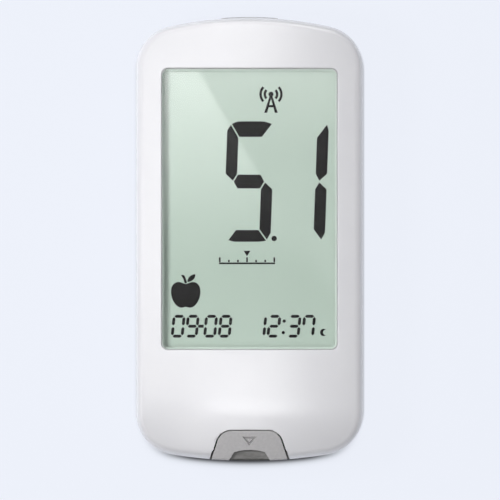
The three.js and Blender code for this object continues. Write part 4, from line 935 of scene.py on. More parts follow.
# %% Build the battery door
RAIL_INSIDE, RAIL_LOW = 12.45, 1.3
GRIP_COUNT, GRIP_START, GRIP_PITCH = 5, 6, 1.9
GRIP_HALF, GRIP_WIDTH, GRIP_CORNER, GRIP_DEPTH = 6.5, 0.8, 0.39, 0.4
door = pan("battery_door_skin", 0, REAR_EDGE, REAR_FACE, PART_LOW)
region = block("region", (-DOOR_HALF, DOOR_HALF), (DOOR_LOW, FAR_END), (BELOW, ABOVE_SEAM))
carve(door, keeps=[region], cuts=[rear_hollow(DOOR_INSIDE), lip_rebate()])
carve(door, cuts=[block("door_inside", (-DOOR_HALF, DOOR_HALF), (DOOR_LOW - 2, END_WALL), (DOOR_INSIDE, 11))])
rails = []
for side in (-1, 1):
    for part, reach, low in (("rail", DOOR_HALF, RAIL_LOW), ("flange", FLANGE_HALF, FLANGE_LOW)):
        across = sorted((side * RAIL_INSIDE, side * reach))
        rails.append(block(part, across, (DOOR_LOW, END_WALL), (low, FLANGE_TOP)))
carve(rails[0], joins=rails[1:])
carve(rails[0], keeps=[pan("rear_body", 0, REAR_EDGE, REAR_FACE, PART_LOW)])
grooves = []
for i in range(GRIP_COUNT):
    low_y = DOOR_LOW + GRIP_START + i * GRIP_PITCH
    grip = round_rectangle((-GRIP_HALF, GRIP_HALF), (low_y, low_y + GRIP_WIDTH), GRIP_CORNER, 6)
    grooves.append(prism("groove", grip, (BELOW, REAR_FACE + GRIP_DEPTH)))
carve(door, joins=[rails[0]], cuts=grooves)
print("eased", ease_edges(door, BACK_EASE, on_back), "edges")
wear(door, pearl)
place_piece(door, "door", "white_shell", "battery_door")

# %% [markdown]
# ## Label and feet
# A blank label lies in a shallow pocket. The rubber feet are moulded with a small dish so that they
# grip. The label is die-cut, so it starts from its outline. The feet are round, so each starts from its
# profile. A spin or a screw modifier would turn a profile as well, but plain rings of points keep the
# count of faces in hand.

# %% Turn a profile, as on a lathe
def turned(name, profile, place, along="z", sides=ROUND_STEPS):
    """A body turned on a lathe: pairs of radius and height, from its axis back to its axis."""
    points, faces = [], []
    for radius, height in profile[1:-1]:
        points += level(arc(0, 0, radius, 0, 2 * math.pi, sides), height)
    rows = len(profile) - 2
    for row in range(rows - 1):
        for i in range(sides):
            j = (i + 1) % sides
            faces.append((row * sides + i, row * sides + j, (row + 1) * sides + j, (row + 1) * sides + i))
    points += [(0, 0, profile[0][1]), (0, 0, profile[-1][1])]
    for i in range(sides):
        j = (i + 1) % sides
        faces.append((rows * sides, j, i))
        faces.append((rows * sides + 1, (rows - 1) * sides + i, (rows - 1) * sides + j))
    if along == "y":
        points = [(x, z, -y) for x, y, z in points]
    elif along == "-y":
        points = [(x, -z, y) for x, y, z in points]
    moved = [tuple(a + b for a, b in zip(p, place)) for p in points]
    return body_from(name, moved, faces)


print("a profile is turned in", ROUND_STEPS, "steps, unless a piece needs another count")

# %% Build the label and the feet
LABEL_LOW, LABEL_TOP = 0.65, 0.8
label = prism("blank_label", label_outline(0), (LABEL_LOW, LABEL_TOP))
wear(label, label_film)
place_piece(label, "case", "label_film", "back_label")

dish = [(0, 0.12), (1.5, 0.1), (1.9, 0.0)]
foot_side = [(2.2, 0.0), (2.42, 0.08), (2.5, 0.28), (2.5, 1.05), (0, 1.05)]
for i, (x, y) in enumerate(FEET):
    foot = turned(f"rubber_foot_{i + 1}", dish + foot_side, (x, y, 0))
    wear(foot, foot_rubber)
    place_piece(foot, "case", "foot_rubber", f"foot_{i + 1}")

# %% [markdown]
# ## The screws
# The screws are pan heads with a cross recess and a rolled thread. A real thread is a helix. Here it is
# a row of rings with the same pitch, which looks the same on a screw this small, has no open ends and
# takes one profile. The recess is two crossed slots cut into the head.

# %% Build the screws
SCREW_SEAT, SCREW_END, HEAD_HEIGHT = 7.55, 18.25, 1.3
THREAD_ROOT, THREAD_CREST, THREAD_PITCH, THREAD_START = 0.8, 1.0, 0.6, 0.4
CROSS_HALF_SPAN, CROSS_HALF_WIDTH, CROSS_DEPTH = 0.95, 0.25, 0.7
for i, (x, y) in enumerate(SCREWS):
    profile = [(0, -HEAD_HEIGHT), (0.9, -HEAD_HEIGHT), (1.2, -1.22), (1.42, -1.02)]
    profile += [(1.55, -0.75), (1.6, -0.45), (1.6, 0), (1.0, 0)]
    shank, turn = SCREW_END - SCREW_SEAT, THREAD_START
    while turn < shank - 1.2:
        profile += [(THREAD_ROOT, turn), (THREAD_CREST, turn + 0.22), (THREAD_ROOT, turn + 0.44)]
        turn += THREAD_PITCH
    profile += [(THREAD_ROOT, shank - 0.7), (0, shank)]
    screw = turned(f"cross_screw_{i + 1}", profile, (x, y, SCREW_SEAT), sides=32)
    head, half_x, half_y = SCREW_SEAT - HEAD_HEIGHT, CROSS_HALF_SPAN, CROSS_HALF_WIDTH
    cross = [block("slot", (x - a, x + a), (y - b, y + b), (head - 1, head + CROSS_DEPTH))
             for a, b in ((half_x, half_y), (half_y, half_x))]
    carve(screw, cuts=cross)
    wear(screw, steel)
    place_piece(screw, "case", "steel", f"case_screw_{i + 1}")

# %% [markdown]
# ## The power button
# The power button fills a slot in the top end and stands a little proud of it, so its face follows the
# crowned end of the case and its edge is rounded. A cut from the end of the case would give the face but
# not the rounding, so it is a stack of rings. A flange behind the slot keeps it in, and a stem reaches
# the switch.

# %% Build the power button
BUTTON_PROUD, BUTTON_ROUNDING, BUTTON_FLANGE_Y, FLANGE_THICK = 0.2, 0.4, 45.807, 0.8
STEM_HALF_WIDTH, STEM_HALF_HEIGHT, STEM_TOP = 1.5, 0.7, 45.9


def button_ring(outline, drop=None):
    """A ring of the power button: at its flange, or on its crowned face less a drop."""
    if drop is None:
        return [(x, BUTTON_FLANGE_Y, BUTTON_Z + z) for x, z in outline]
    return [(x, case_top(x, -BUTTON_PROUD) - drop, BUTTON_Z + z) for x, z in outline]


button_rings = [button_ring(button_outline(0))]
for inset, drop in rounded_edge(BUTTON_ROUNDING, 5):
    button_rings.append(button_ring(button_outline(-inset), drop))
for share in (0.85, 0.6, 0.3):
    button_rings.append(button_ring([(x * share, z * share) for x, z in button_outline(-BUTTON_ROUNDING)], 0))
power_button = stack("power_button_cap", button_rings)
flange_outline = round_rectangle((-7.4, 7.4), (-2.25, 2.25), BUTTON_CORNER, 10)
flange = along_y("flange", flange_outline, (BUTTON_FLANGE_Y, BUTTON_FLANGE_Y + FLANGE_THICK))
stem = block("stem", (-STEM_HALF_WIDTH, STEM_HALF_WIDTH), (BUTTON_HOLE_Y, STEM_TOP),
             (BUTTON_Z - STEM_HALF_HEIGHT, BUTTON_Z + STEM_HALF_HEIGHT))
carve(power_button, joins=[flange, stem])
wear(power_button, key_grey)
place_piece(power_button, "power_key", "grey_plastic", "power_button")

# %% [markdown]
# ## The set button
# The set button is a small pin in a sleeve, reached with the battery door off. It is round all along its
# length, so one turned profile gives the pin, its rounded end and its flange.

# %% Build the set button
set_low, set_flange, set_top = TRACK_LOW + 0.1, 9.25, 11.75
profile = [(0, set_low), (1.2, set_low), (1.42, set_low + 0.08), (1.5, set_low + 0.3), (1.5, set_flange),
           (2.4, set_flange), (2.4, set_flange + 0.6), (1.5, set_flange + 0.6), (1.5, set_top), (0, set_top)]
set_button = turned("set_button_pin", profile, (SET_X, SET_Y, 0))
wear(set_button, key_grey)
place_piece(set_button, "set_key", "grey_plastic", "set_button")

# %% [markdown]
# ## The cells
# A cell is a steel can in a film, crimped over a seal at the foot of its nub. Turning one profile gives
# the can, and each face then takes the finish that its place along the can asks for. The film is plain,
# with one band at the end that has the nub.

# %% Build the cells
CELL_LENGTH, BAND_AT, FILM_FROM = 44.5, 34.05, 5.15
can = [(0, 0), (3.6, 0), (3.8, 0.12), (4.5, 0.12), (4.85, 0.25), (5.1, 0.5), (5.16, 0.8)]
can += [(5.25, 0.9), (5.25, 34.0), (5.25, 34.1), (5.25, 42.5)]
can += [(5.16, 42.62), (5.1, 42.9), (4.9, 43.3), (4.5, 43.5), (4.1, 43.4), (3.6, 43.2), (2.3, 43.2)]
can += [(2.05, 43.35), (1.9, 43.6), (1.9, 44.3), (1.8, 44.45), (1.6, 44.5), (0, 44.5)]


def cell(name, place, along, node):
    """A cell in its film, which leaves both ends bare."""
    made = turned(name, can, place, along, sides=64)
    for stock in (steel, cell_jacket, cell_band):
        made.data.materials.append(stock)
    for face in made.data.polygons:
        run = abs(face.center.y / MM - LENGTH_SHIFT - place[1])
        round_face = math.hypot(face.center.x / MM - place[0], face.center.z / MM - place[2]) > FILM_FROM
        face.material_index = (1 if run < BAND_AT else 2) if round_face else 0
    place_piece(made, "case", "cell_jacket", node)


top_seat, low_seat = TOP_CONTACT - 0.1, LOW_CONTACT + 0.4
cell("cell_left", (-CELL_X, top_seat - CELL_LENGTH, CELL_Z), "y", "battery_cell_left")
cell("cell_right", (CELL_X, low_seat + CELL_LENGTH, CELL_Z), "-y", "battery_cell_right")

# %% [markdown]
# ## The springs that press on the cells
# Each spring is a cone, wide at its seat, so that its coils can sink into each other when a cell is
# pushed in. It is the same wire as the return spring, wound on a helix that gets narrower.

# %% Wind the contact springs
def conical_spring(name, x, seat, way, node):
    """A spring that is wide at its seat and narrow where it meets the cell."""
    wide, narrow, long, thick, turns, steps, path = 3.1, 1.7, 2.9, 0.25, 3.5, 84, []
    for i in range(steps + 1):
        share = i / steps
        radius, t = wide + (narrow - wide) * share, 2 * math.pi * turns * share
        run = seat + way * (thick + long * share)
        path.append((x + way * radius * math.cos(t), run, CELL_Z + radius * math.sin(t)))
    made = wire(name, path, thick)
    wear(made, steel)
    place_piece(made, "case", "steel", node)


conical_spring("cell_spring_left", -CELL_X, low_seat, 1, "contact_spring_left")
conical_spring("cell_spring_right", CELL_X, top_seat, -1, "contact_spring_right")

# %% [markdown]
# ## The lens
# The lens is a flat acrylic pane that drops into the window. At the window's sides it lies three tenths
# of a millimetre below the face, and deeper in the middle, where the face is higher. Its edges are
# broken, as a cut pane's are, and that fine slope is what draws the bright line round a window.

# %% Build the lens
LENS_GAP, LENS_EASE = 0.06, 0.12
lens_rings = []
for inset, z in ((LENS_EASE, LENS_LOW), (0, LENS_LOW + LENS_EASE),
                 (0, LENS_TOP - LENS_EASE), (LENS_EASE, LENS_TOP)):
    lens_rings.append(level(window_outline(-LENS_GAP - inset, WINDOW_CORNER), z))
lens = stack("window_lens", lens_rings)
wear(lens, clear_lens)
lens.data.materials.append(lens_edge)
for face in lens.data.polygons:
    face.material_index = 0 if abs(face.normal.z) > 0.9 else 1
place_piece(lens, "case", "clear_lens", "display_lens")

# %% [markdown]
# ## The segments of the display
# A display of this kind switches fixed shapes between clear and dark. Each digit is seven bars with
# mitred ends and fine gaps between them, and it leans a little. The large digits are drawn with heavy
# bars that fill their corners, the small ones with plain six-sided bars. They lie between the two
# glasses as thin dark plates, so the edge of the window shades them as it shades the ground.

# %% Shapes of the large segments
SEGMENT_LOW, SEGMENT_TOP = 16.86, 16.895
WIDE, TALL, UPRIGHT, TOP_BAR, MIDDLE_BAR, LOW_BAR, GAP = 10.45, 26.65, 2.53, 3.43, 3.05, 2.57, 0.2


def large_segments():
    """The seven bars of a large digit, by the letters that display makers give them."""
    middle, half, inner = TALL / 2, MIDDLE_BAR / 2, UPRIGHT + GAP
    apex, cut_x, shoulder = 1.66, 2.37, 2.04

    def upright(tip, cut, bar):
        """The upper left bar, from its mitred tip down to its point in the middle."""
        return [(tip, TALL - cut), (UPRIGHT, TALL - bar - GAP), (UPRIGHT, middle + half + GAP),
                (apex, middle + GAP), (0, middle + half + GAP), (0, TALL - shoulder)]

    def mirror(shape):
        return [(WIDE - x, y) for x, y in shape]

    def sink(shape):
        return [(x, TALL - y) for x, y in shape]

    crown = [(0.96, TALL - 0.56), (cut_x, TALL), (WIDE - cut_x, TALL), (WIDE - 0.6, TALL - 0.56),
             (WIDE - inner, TALL - TOP_BAR), (inner, TALL - TOP_BAR)]
    foot = [(1.12, 0.34), (cut_x, 0), (WIDE - cut_x, 0), (WIDE - 0.96, 0.22),
            (WIDE - inner, LOW_BAR), (inner, LOW_BAR)]
    waist = [(apex + GAP, middle), (inner, middle + half), (WIDE - inner, middle + half),
             (WIDE - apex - GAP, middle), (WIDE - inner, middle - half), (inner, middle - half)]
    lower = sink(upright(0.8, 0.46, LOW_BAR))
    return {"a": crown, "b": mirror(upright(0.42, 0.74, TOP_BAR)), "c": mirror(lower), "d": foot, "e": lower,
            "f": upright(0.76, 0.76, TOP_BAR), "g": waist}


print("a large digit is", WIDE, "x", TALL, "mm")

# %% [markdown]
# ## The small digits
# The small digits have thin straight bars. A bar between two corners of the digit is easy to work out
# along its own direction, so one inner function draws all seven.

# %% Shapes of the small segments
SMALL_WIDE, SMALL_TALL, SMALL_THICK, FLAT_GAP, WAIST_GAP, UPRIGHT_GAP = 2.86, 5.05, 0.66, 0.08, 0.1, 0.16


def small_segments():
    """The seven bars of a small digit: plain six-sided bars between its six corners."""
    half = SMALL_THICK / 2
    x, y = (half, SMALL_WIDE - half), (half, SMALL_TALL / 2, SMALL_TALL - half)

    def bar(start, end, gap):
        run = (Vector(end) - Vector(start)).normalized()
        side = Vector((-run.y, run.x)) * half
        first, last = Vector(start) + run * gap, Vector(end) - run * gap
        return [tuple(p) for p in (first, first + run * half - side, last - run * half - side, last,
                                   last - run * half + side, first + run * half + side)]

    return {
        "a": bar((x[0], y[2]), (x[1], y[2]), FLAT_GAP),
        "b": bar((x[1], y[1]), (x[1], y[2]), UPRIGHT_GAP),
        "c": bar((x[1], y[0]), (x[1], y[1]), UPRIGHT_GAP),
        "d": bar((x[0], y[0]), (x[1], y[0]), FLAT_GAP),
        "e": bar((x[0], y[0]), (x[0], y[1]), UPRIGHT_GAP),
        "f": bar((x[0], y[1]), (x[0], y[2]), UPRIGHT_GAP),
        "g": bar((x[0], y[1]), (x[1], y[1]), WAIST_GAP),
    }


LIT = {"0": "abcdef", "1": "bc", "2": "abged", "3": "abgcd", "5": "afgcd", "7": "fabc", "8": "abcdefg",
       "9": "abcdfg"}


def lean(shape, x, y, slant):
    """A shape at its place, leaning to the right as it rises."""
    return [(x + a + slant * b, y + b) for a, b in shape]


def digit(bars, number, x, y, slant):
    """The lit bars of one digit."""
    return [lean(bars[letter], x, y, slant) for letter in LIT[number]]


print("bars that are lit for", {number: LIT[number] for number in "15"})

# %% [markdown]
# ## Round forms for signs
# Signs need dots, parts of rings and free curves. A curve object could draw them, but would have to be
# turned into a mesh and filled. A dot is an arc that closes, and a free curve is a smooth line through a
# few points, which needs far fewer numbers than a drawn outline.

# %% Dots, bands and smooth lines
def dot(x, y, radius):
    """A round dot."""
    return arc(x, y, radius, 0, 2 * math.pi, 24)


def band(x, y, inner, outer, start, end, steps=16):
    """Part of a flat ring."""
    far = arc(x, y, outer, start, end, steps) + [(x + outer * math.cos(end), y + outer * math.sin(end))]
    near = arc(x, y, inner, end, start, steps) + [(x + inner * math.cos(start), y + inner * math.sin(start))]
    return far + near


def rounded_through(points, steps=6):
    """A smooth closed line through a few points."""
    count, smooth_line = len(points), []
    for i in range(count):
        a, b, c, d = (Vector(points[(i + k) % count]) for k in (-1, 0, 1, 2))
        for k in range(steps):
            t = k / steps
            bend, twist = 2 * a - 5 * b + 4 * c - d, 3 * b - a - 3 * c + d
            smooth_line.append(tuple(0.5 * (2 * b + (c - a) * t + bend * t**2 + twist * t**3)))
    return smooth_line


print("a dot has", len(dot(0, 0, 1)), "points")

# %% [markdown]
# ## The signs beside the digits
# A display of this kind also has a few fixed signs. They are generic here: a transmitter mast for the
# radio, a whole fruit for a reading at a meal, a scale with a pointer, and a crescent for the later half
# of the day. Each is a function of its place, so that it can be moved without counting points again.

# %% The four signs
def mast_sign(x, y):
    """A transmitter mast with two waves on each side."""
    ball = y + 4.1
    legs = [[(x - 1.5, y), (x - 0.85, y), (x + 0.16, ball - 0.4), (x - 0.3, ball - 0.4)],
            [(x + 0.85, y), (x + 1.5, y), (x + 0.3, ball - 0.4), (x - 0.16, ball - 0.4)],
            [(x - 0.85, y + 1.2), (x + 0.85, y + 1.2), (x + 0.68, y + 1.72), (x - 0.68, y + 1.72)]]
    waves, spread = [], 0.75
    for radius in (1.1, 2.05):
        for turn in (0, math.pi):
            waves.append(band(x, ball, radius, radius + 0.52, turn - spread, turn + spread))
    return legs + waves + [dot(x, ball, 0.56)]


def fruit_sign(x, y):
    """A whole round fruit with a stem and a leaf, the sign for a reading at a meal."""
    right = [(0.75, 2.62), (1.6, 2.82), (2.5, 2.5), (3.1, 1.7), (3.25, 0.5), (3.0, -0.85), (2.35, -2.05),
             (1.5, -2.75), (0.75, -2.85)]
    flesh = [(0, 2.38)] + right + [(0, -2.68)] + [(-a, b) for a, b in reversed(right)]
    stem = [(-0.22, 2.6), (0.25, 2.62), (0.05, 3.5), (-0.4, 4.32), (-0.98, 4.28), (-0.55, 3.55)]
    leaf = [(0.4, 2.85), (1.3, 3.05), (1.95, 3.7), (2.08, 4.5), (1.2, 4.3), (0.6, 3.65)]
    return [lean(rounded_through(shape), x, y, 0) for shape in (flesh, stem, leaf)]


def scale_sign(x0, x1, y):
    """A plain scale with seven marks and a pointer over the middle one."""
    thick, half = 0.36, 0.18
    marks = [rectangle((x0, x1), (y, y + thick))]
    for i in range(7):
        at, height = x0 + half + (x1 - x0 - thick) * i / 6, 1.5 if i % 3 == 0 else 0.95
        marks.append(rectangle((at - half, at + half), (y + 0.44, y + height)))
    middle = (x0 + x1) / 2
    marks.append([(middle, y + 1.75), (middle + 0.75, y + 2.95), (middle - 0.75, y + 2.95)])
    return marks


def moon_sign(x, y, radius):
    """A crescent, the sign for the later half of the day."""
    horn, shift = 0.9, 0.62 * radius
    outer = arc(x, y, radius, horn, 2 * math.pi - horn, 24)
    half, run = radius * math.sin(horn), radius * math.cos(horn) - shift
    bite, turn = math.hypot(run, half), math.atan2(half, run)
    return [outer + arc(x + shift, y, bite, 2 * math.pi - turn, turn, 16)]


print("signs of", len(mast_sign(0, 0)), len(fruit_sign(0, 0)), len(scale_sign(0, 1, 0)), "and 1 shapes")

# %% [markdown]
# ## The display's picture
# All the dark shapes lie in one thin layer between the two glasses, so they are one piece of many small
# plates. The large digits show a reading and the small ones a date and a time. They are plain numbers.

# %% Lay out the display
def plates(name, shapes, low, high):
    """Thin plates of many outlines as one piece."""
    points, faces = [], []
    for shape in shapes:
        first, count = len(points), len(shape)
        points += level(shape, low) + level(shape, high)
        faces.append(tuple(first + i for i in reversed(range(count))))
        faces.append(tuple(first + count + i for i in range(count)))
        faces += [(first + i, first + (i + 1) % count, first + count + (i + 1) % count, first + count + i)
                  for i in range(count)]
    return body_from(name, points, faces)


large, small = large_segments(), small_segments()
LARGE_LEAN, SMALL_LEAN, LARGE_BASE, SMALL_BASE = 0.036, 0.1, -0.51, -21.76
LARGE_PLACES, SMALL_PLACES = (-5.82, 6.2), (-17.49, -14.37, -10.3, -7.08, 0.6, 3.72, 8.19, 11.4)
POINT, COLON, COLON_DOT = (5.46, 0.2, 0.6), ((7.48, -20.64), (7.68, -18.09)), 0.36
HYPHEN = [(-11.42, -19.56), (-10.2, -19.56), (-10.12, -18.9), (-11.34, -18.9)]
MAST, FRUIT, SCALE, MOON = (4.76, 28.05), (-14.13, -12.25), (-6.77, 5.67, -5.48), (16.42, -20.61, 0.8)
reading, date_and_time = [], []
for number, x in zip("51", LARGE_PLACES):
    reading += digit(large, number, x, LARGE_BASE, LARGE_LEAN)
reading.append(dot(*POINT))
for number, x in zip("09081237", SMALL_PLACES):
    date_and_time += digit(small, number, x, SMALL_BASE, SMALL_LEAN)
date_and_time.append(HYPHEN)
date_and_time += [dot(x, y, COLON_DOT) for x, y in COLON]
signs = mast_sign(*MAST) + fruit_sign(*FRUIT) + scale_sign(*SCALE) + moon_sign(*MOON)
segments = plates("display_segments", reading + date_and_time + signs, SEGMENT_LOW, SEGMENT_TOP)
wear(segments, segment_black)
place_piece(segments, "case", "lcd_glass")

# %% [markdown]
# ## The table
# The meter lies on a very pale blue ground with almost no shadow, only a tight dark line under its lower end.
# A lit white table would go grey at its edges and cast a wide shadow. So what the camera sees of the table is
# mostly its own pale colour, with a painted shade where the case hides it close by, plus a little real light
# that carries the real shadow. Rings that follow the case make up the table top near it. They hold a painted
# shadow level at each place, which paints the tight dark line under the lower end and the hairline along the
# right side.

# %% Lay the table
BACKGROUND = (0.855, 0.887, 0.965)
REACH = 3.0
# distance from the case in millimetres, painted shadow level at the lower end and painted shadow level at the
# right side, where one is no shade
PAINTED_SHADOW_LEVELS = ((-3.0, 0.35, 0.35), (-1.0, 0.2, 1.0), (0.1, 0.09, 0.92), (0.45, 0.06, 0.58), (0.6, 0.05, 0.78),
            (0.75, 0.08, 0.93), (0.9, 0.13, 1.0), (1.15, 0.31, 1.0), (1.4, 0.54, 1.0), (1.7, 0.76, 1.0),
            (2.1, 0.91, 1.0), (2.6, 0.98, 1.0), (3.2, 1.0, 1.0))


def ramp(value, low, high):
    """Nothing below low, one above high, and a straight rise between them."""
    return min(max((value - low) / (high - low), 0.0), 1.0)


def low_end(x, y):
    """Weight of the painted shadow: one under the lower end of the case, nothing at its corners and sides."""
    out = ramp(abs(x), 12.0, 26.0)
    return (1 - out * out * (3 - 2 * out)) if y < 0 else 0.0


def right_side(x):
    """Weight of the painted hairline shadow: one along the right side and round its two corners."""
    return ramp(x, 14.0, 23.0)


table = bmesh.new()
painted_shadow_level = table.verts.layers.float.new("painted_shadow_level")
rings = []
# each ring's painted shadow level: darker under the lower end and in a hairline along the right side
for out, at_low_end, at_right_side in PAINTED_SHADOW_LEVELS:
    ring = []
    for x, y in case_outline(-out):
        ring.append(table.verts.new((x * MM, (y + LENGTH_SHIFT) * MM, 0)))
        low, right = (low_end(x, y), right_side(x)) if out > -2 else (1, 0)
        ring[-1][painted_shadow_level] = (1 - (1 - at_low_end) * low) * (1 - (1 - at_right_side) * right * (1 - low))
    rings.append(ring)
far = [table.verts.new(vert.co.normalized() * REACH) for vert in rings[-1]]
for vert in far:
    vert[painted_shadow_level] = 1.0
rings.append(far)
table.faces.new(rings[0])
for inner, outer in zip(rings, rings[1:]):
    for i in range(len(inner)):
        table.faces.new((outer[i - 1], outer[i], inner[i], inner[i - 1]))
floor_mesh = bpy.data.meshes.new("table_top")
table.to_mesh(floor_mesh)
table.free()
table_top = bpy.data.objects.new("table_top", floor_mesh)
scene.collection.objects.link(table_top)
print("table of", len(floor_mesh.polygons), "faces")

# %% [markdown]
# ## The table's finish
# The camera, and anything that mirrors or lets through its rays, sees the table's own pale colour. That
# colour is dimmed by a painted shade from an occlusion node where the case hides the table and by the painted
# shadow that the rings hold, and a small share of real light is added. All other rays meet an ordinary matt
# surface.

# %% Finish the table
SHADE_REACH, DARKEST, LIGHTEST, REAL_LIGHT = 2.5, 0.2, 0.955, 0.045
pale_table = bpy.data.materials.new("pale_table")
pale_table.use_nodes = True
nodes, links = pale_table.node_tree.nodes, pale_table.node_tree.links
lit = nodes["Principled BSDF"]
lit.inputs["Base Color"].default_value = (*BACKGROUND, 1)
lit.inputs["Roughness"].default_value = 0.9

# the glow that the camera sees, with painted shade: dimmed by an occlusion node where the case hides the
# table and by the painted shadow that the rings hold
hidden = nodes.new("ShaderNodeAmbientOcclusion")
hidden.inputs["Distance"].default_value = SHADE_REACH * MM
hidden.samples = 8
depth = nodes.new("ShaderNodeMapRange")
depth.inputs["To Min"].default_value, depth.inputs["To Max"].default_value = DARKEST, LIGHTEST
links.new(hidden.outputs["AO"], depth.inputs["Value"])
# the painted shadow level that the rings hold
near = nodes.new("ShaderNodeAttribute")
near.attribute_name = "painted_shadow_level"
level_here = nodes.new("ShaderNodeMath")
level_here.operation = "MULTIPLY"
links.new(depth.outputs["Result"], level_here.inputs[0])
links.new(near.outputs["Fac"], level_here.inputs[1])
glow = nodes.new("ShaderNodeEmission")
glow.inputs["Color"].default_value = (*BACKGROUND, 1)
links.new(level_here.outputs["Value"], glow.inputs["Strength"])

# the small share of real light, added to the glow
thin = nodes.new("ShaderNodeMixShader")
thin.inputs["Fac"].default_value = REAL_LIGHT
black = nodes.new("ShaderNodeBsdfDiffuse")
black.inputs["Color"].default_value = (0, 0, 0, 1)
links.new(black.outputs["BSDF"], thin.inputs[1])
links.new(lit.outputs["BSDF"], thin.inputs[2])
seen = nodes.new("ShaderNodeAddShader")
links.new(glow.outputs["Emission"], seen.inputs[0])
links.new(thin.outputs["Shader"], seen.inputs[1])

# rays from the camera, straight or by way of a mirror or a lens, see the glow, and all others the matt table
path = nodes.new("ShaderNodeLightPath")
looking = path.outputs["Is Camera Ray"]
for ray in ("Is Glossy Ray", "Is Transmission Ray"):
    either = nodes.new("ShaderNodeMath")
    either.operation = "MAXIMUM"
    links.new(looking, either.inputs[0])
    links.new(path.outputs[ray], either.inputs[1])
    looking = either.outputs["Value"]
choose = nodes.new("ShaderNodeMixShader")
links.new(looking, choose.inputs["Fac"])
links.new(lit.outputs["BSDF"], choose.inputs[1])
links.new(seen.outputs["Shader"], choose.inputs[2])
links.new(choose.outputs["Shader"], nodes["Material Output"].inputs["Surface"])
floor_mesh.materials.append(pale_table)
print("table seen with", REAL_LIGHT, "of real light")

# %% [markdown]
# ## The room
# The room is brighter near the horizon, because that light reaches the rounded edges, which light from
# overhead leaves dark. The camera sees a plain pale backdrop in its place, in the table's own colour.

# %% The room
HORIZON_GLOW, OVERHEAD_GLOW, GLOW_ENDS = 0.6, 0.07, 0.6
BACKDROP_SHARE = 0.963
world = bpy.data.worlds.new("room")
scene.world = world
world.use_nodes = True
nodes, links = world.node_tree.nodes, world.node_tree.links
fill = nodes["Background"]
fill.inputs["Color"].default_value = (0.95, 0.96, 1, 1)
sky = nodes.new("ShaderNodeTexCoord")
height = nodes.new("ShaderNodeSeparateXYZ")
low_sky = nodes.new("ShaderNodeMapRange")
low_sky.inputs["From Min"].default_value, low_sky.inputs["From Max"].default_value = 0.0, GLOW_ENDS
low_sky.inputs["To Min"].default_value, low_sky.inputs["To Max"].default_value = HORIZON_GLOW, OVERHEAD_GLOW
links.new(sky.outputs["Generated"], height.inputs["Vector"])
links.new(height.outputs["Z"], low_sky.inputs["Value"])
links.new(low_sky.outputs["Result"], fill.inputs["Strength"])

# the backdrop that the camera sees in place of the glow
behind = nodes.new("ShaderNodeBackground")
behind.inputs["Color"].default_value = (*[c * BACKDROP_SHARE for c in BACKGROUND], 1)
path = nodes.new("ShaderNodeLightPath")
choose = nodes.new("ShaderNodeMixShader")
links.new(path.outputs["Is Camera Ray"], choose.inputs["Fac"])
links.new(fill.outputs["Background"], choose.inputs[1])
links.new(behind.outputs["Background"], choose.inputs[2])
links.new(choose.outputs["Shader"], nodes["World Output"].inputs["Surface"])
print("room glow from", HORIZON_GLOW, "at the horizon to", OVERHEAD_GLOW, "overhead")

# %% [markdown]
# ## The lamps
# A small soft lamp to the left makes the left side of the face bright and the right side quiet. A sun
# would light both sides alike. Three low lamps reach the rounded edges, and a large weak one overhead
# evens out the rest. No lamp is mirrored itself, because its small square would show up in the glass.

# %% Lamps
def lamp(name, place, aim, size, power):
    """A square lamp: place and aim and the length of a side in metres, and its power in watts."""
    data = bpy.data.lights.new(name, "AREA")
    data.shape, data.size, data.energy = "SQUARE", size, power
    made = bpy.data.objects.new(name, data)
    made.location = place
    made.rotation_euler = (Vector(aim) - Vector(place)).to_track_quat("-Z", "Y").to_euler()
    made.visible_glossy = made.visible_transmission = False
    scene.collection.objects.link(made)


lamp("window_lamp", (-0.11, 0.0, 0.225), (0, 0, 0), 0.06, 0.263)
lamp("right_rim_lamp", (0.28, 0.22, 0.05), (0, 0, 0.01), 0.08, 0.17)
lamp("left_rim_lamp", (-0.3, 0.12, 0.05), (0, 0, 0.01), 0.08, 0.2)
lamp("far_rim_lamp", (-0.1, 0.36, 0.05), (0, 0.04, 0.015), 0.08, 0.24)
lamp("top_lamp", (0.0, -0.05, 0.9), (0, 0, 0), 0.3, 0.445)

# %% [markdown]
# ## What the lens and the case mirror
# A photographer hangs white cards over a glossy product and places their edges with care. An area lamp
# could be mirrored too, but it has no slanted edge and no fading. So each card is one flat face that
# glows. Where its edge has to be follows from where the camera's line of sight meets it in the mirror
# image, and a function works that out for any place on the lens.

# %% Make a card and find its edges
CARD_HEIGHT = 1.0


def mirrored(x, y):
    """Where the camera, looking at a place on the lens, meets the card in the mirror image."""
    eye = camera.location
    spread = (CARD_HEIGHT - LENS_TOP * MM) / (eye.z - LENS_TOP * MM)
    return (x * MM + (x * MM - eye.x) * spread, y * MM + (y * MM - eye.y) * spread)


def card(name, corners, material, lights=True):
    """A bright card overhead, which lights and is mirrored, or is only mirrored, and isn't seen itself."""
    mesh = bpy.data.meshes.new(name)
    mesh.from_pydata([(x, y, CARD_HEIGHT) for x, y in corners], [], [tuple(reversed(range(len(corners))))])
    mesh.materials.append(material)
    made = bpy.data.objects.new(name, mesh)
    scene.collection.objects.link(made)
    made.visible_camera, made.visible_diffuse = False, lights


def steady(name, strength):
    """A card that is equally bright all over."""
    made = bpy.data.materials.new(name)
    made.use_nodes = True
    nodes, links = made.node_tree.nodes, made.node_tree.links
    nodes.remove(nodes["Principled BSDF"])
    glow = nodes.new("ShaderNodeEmission")
    glow.inputs["Strength"].default_value = strength
    links.new(glow.outputs["Emission"], nodes["Material Output"].inputs["Surface"])
    return made


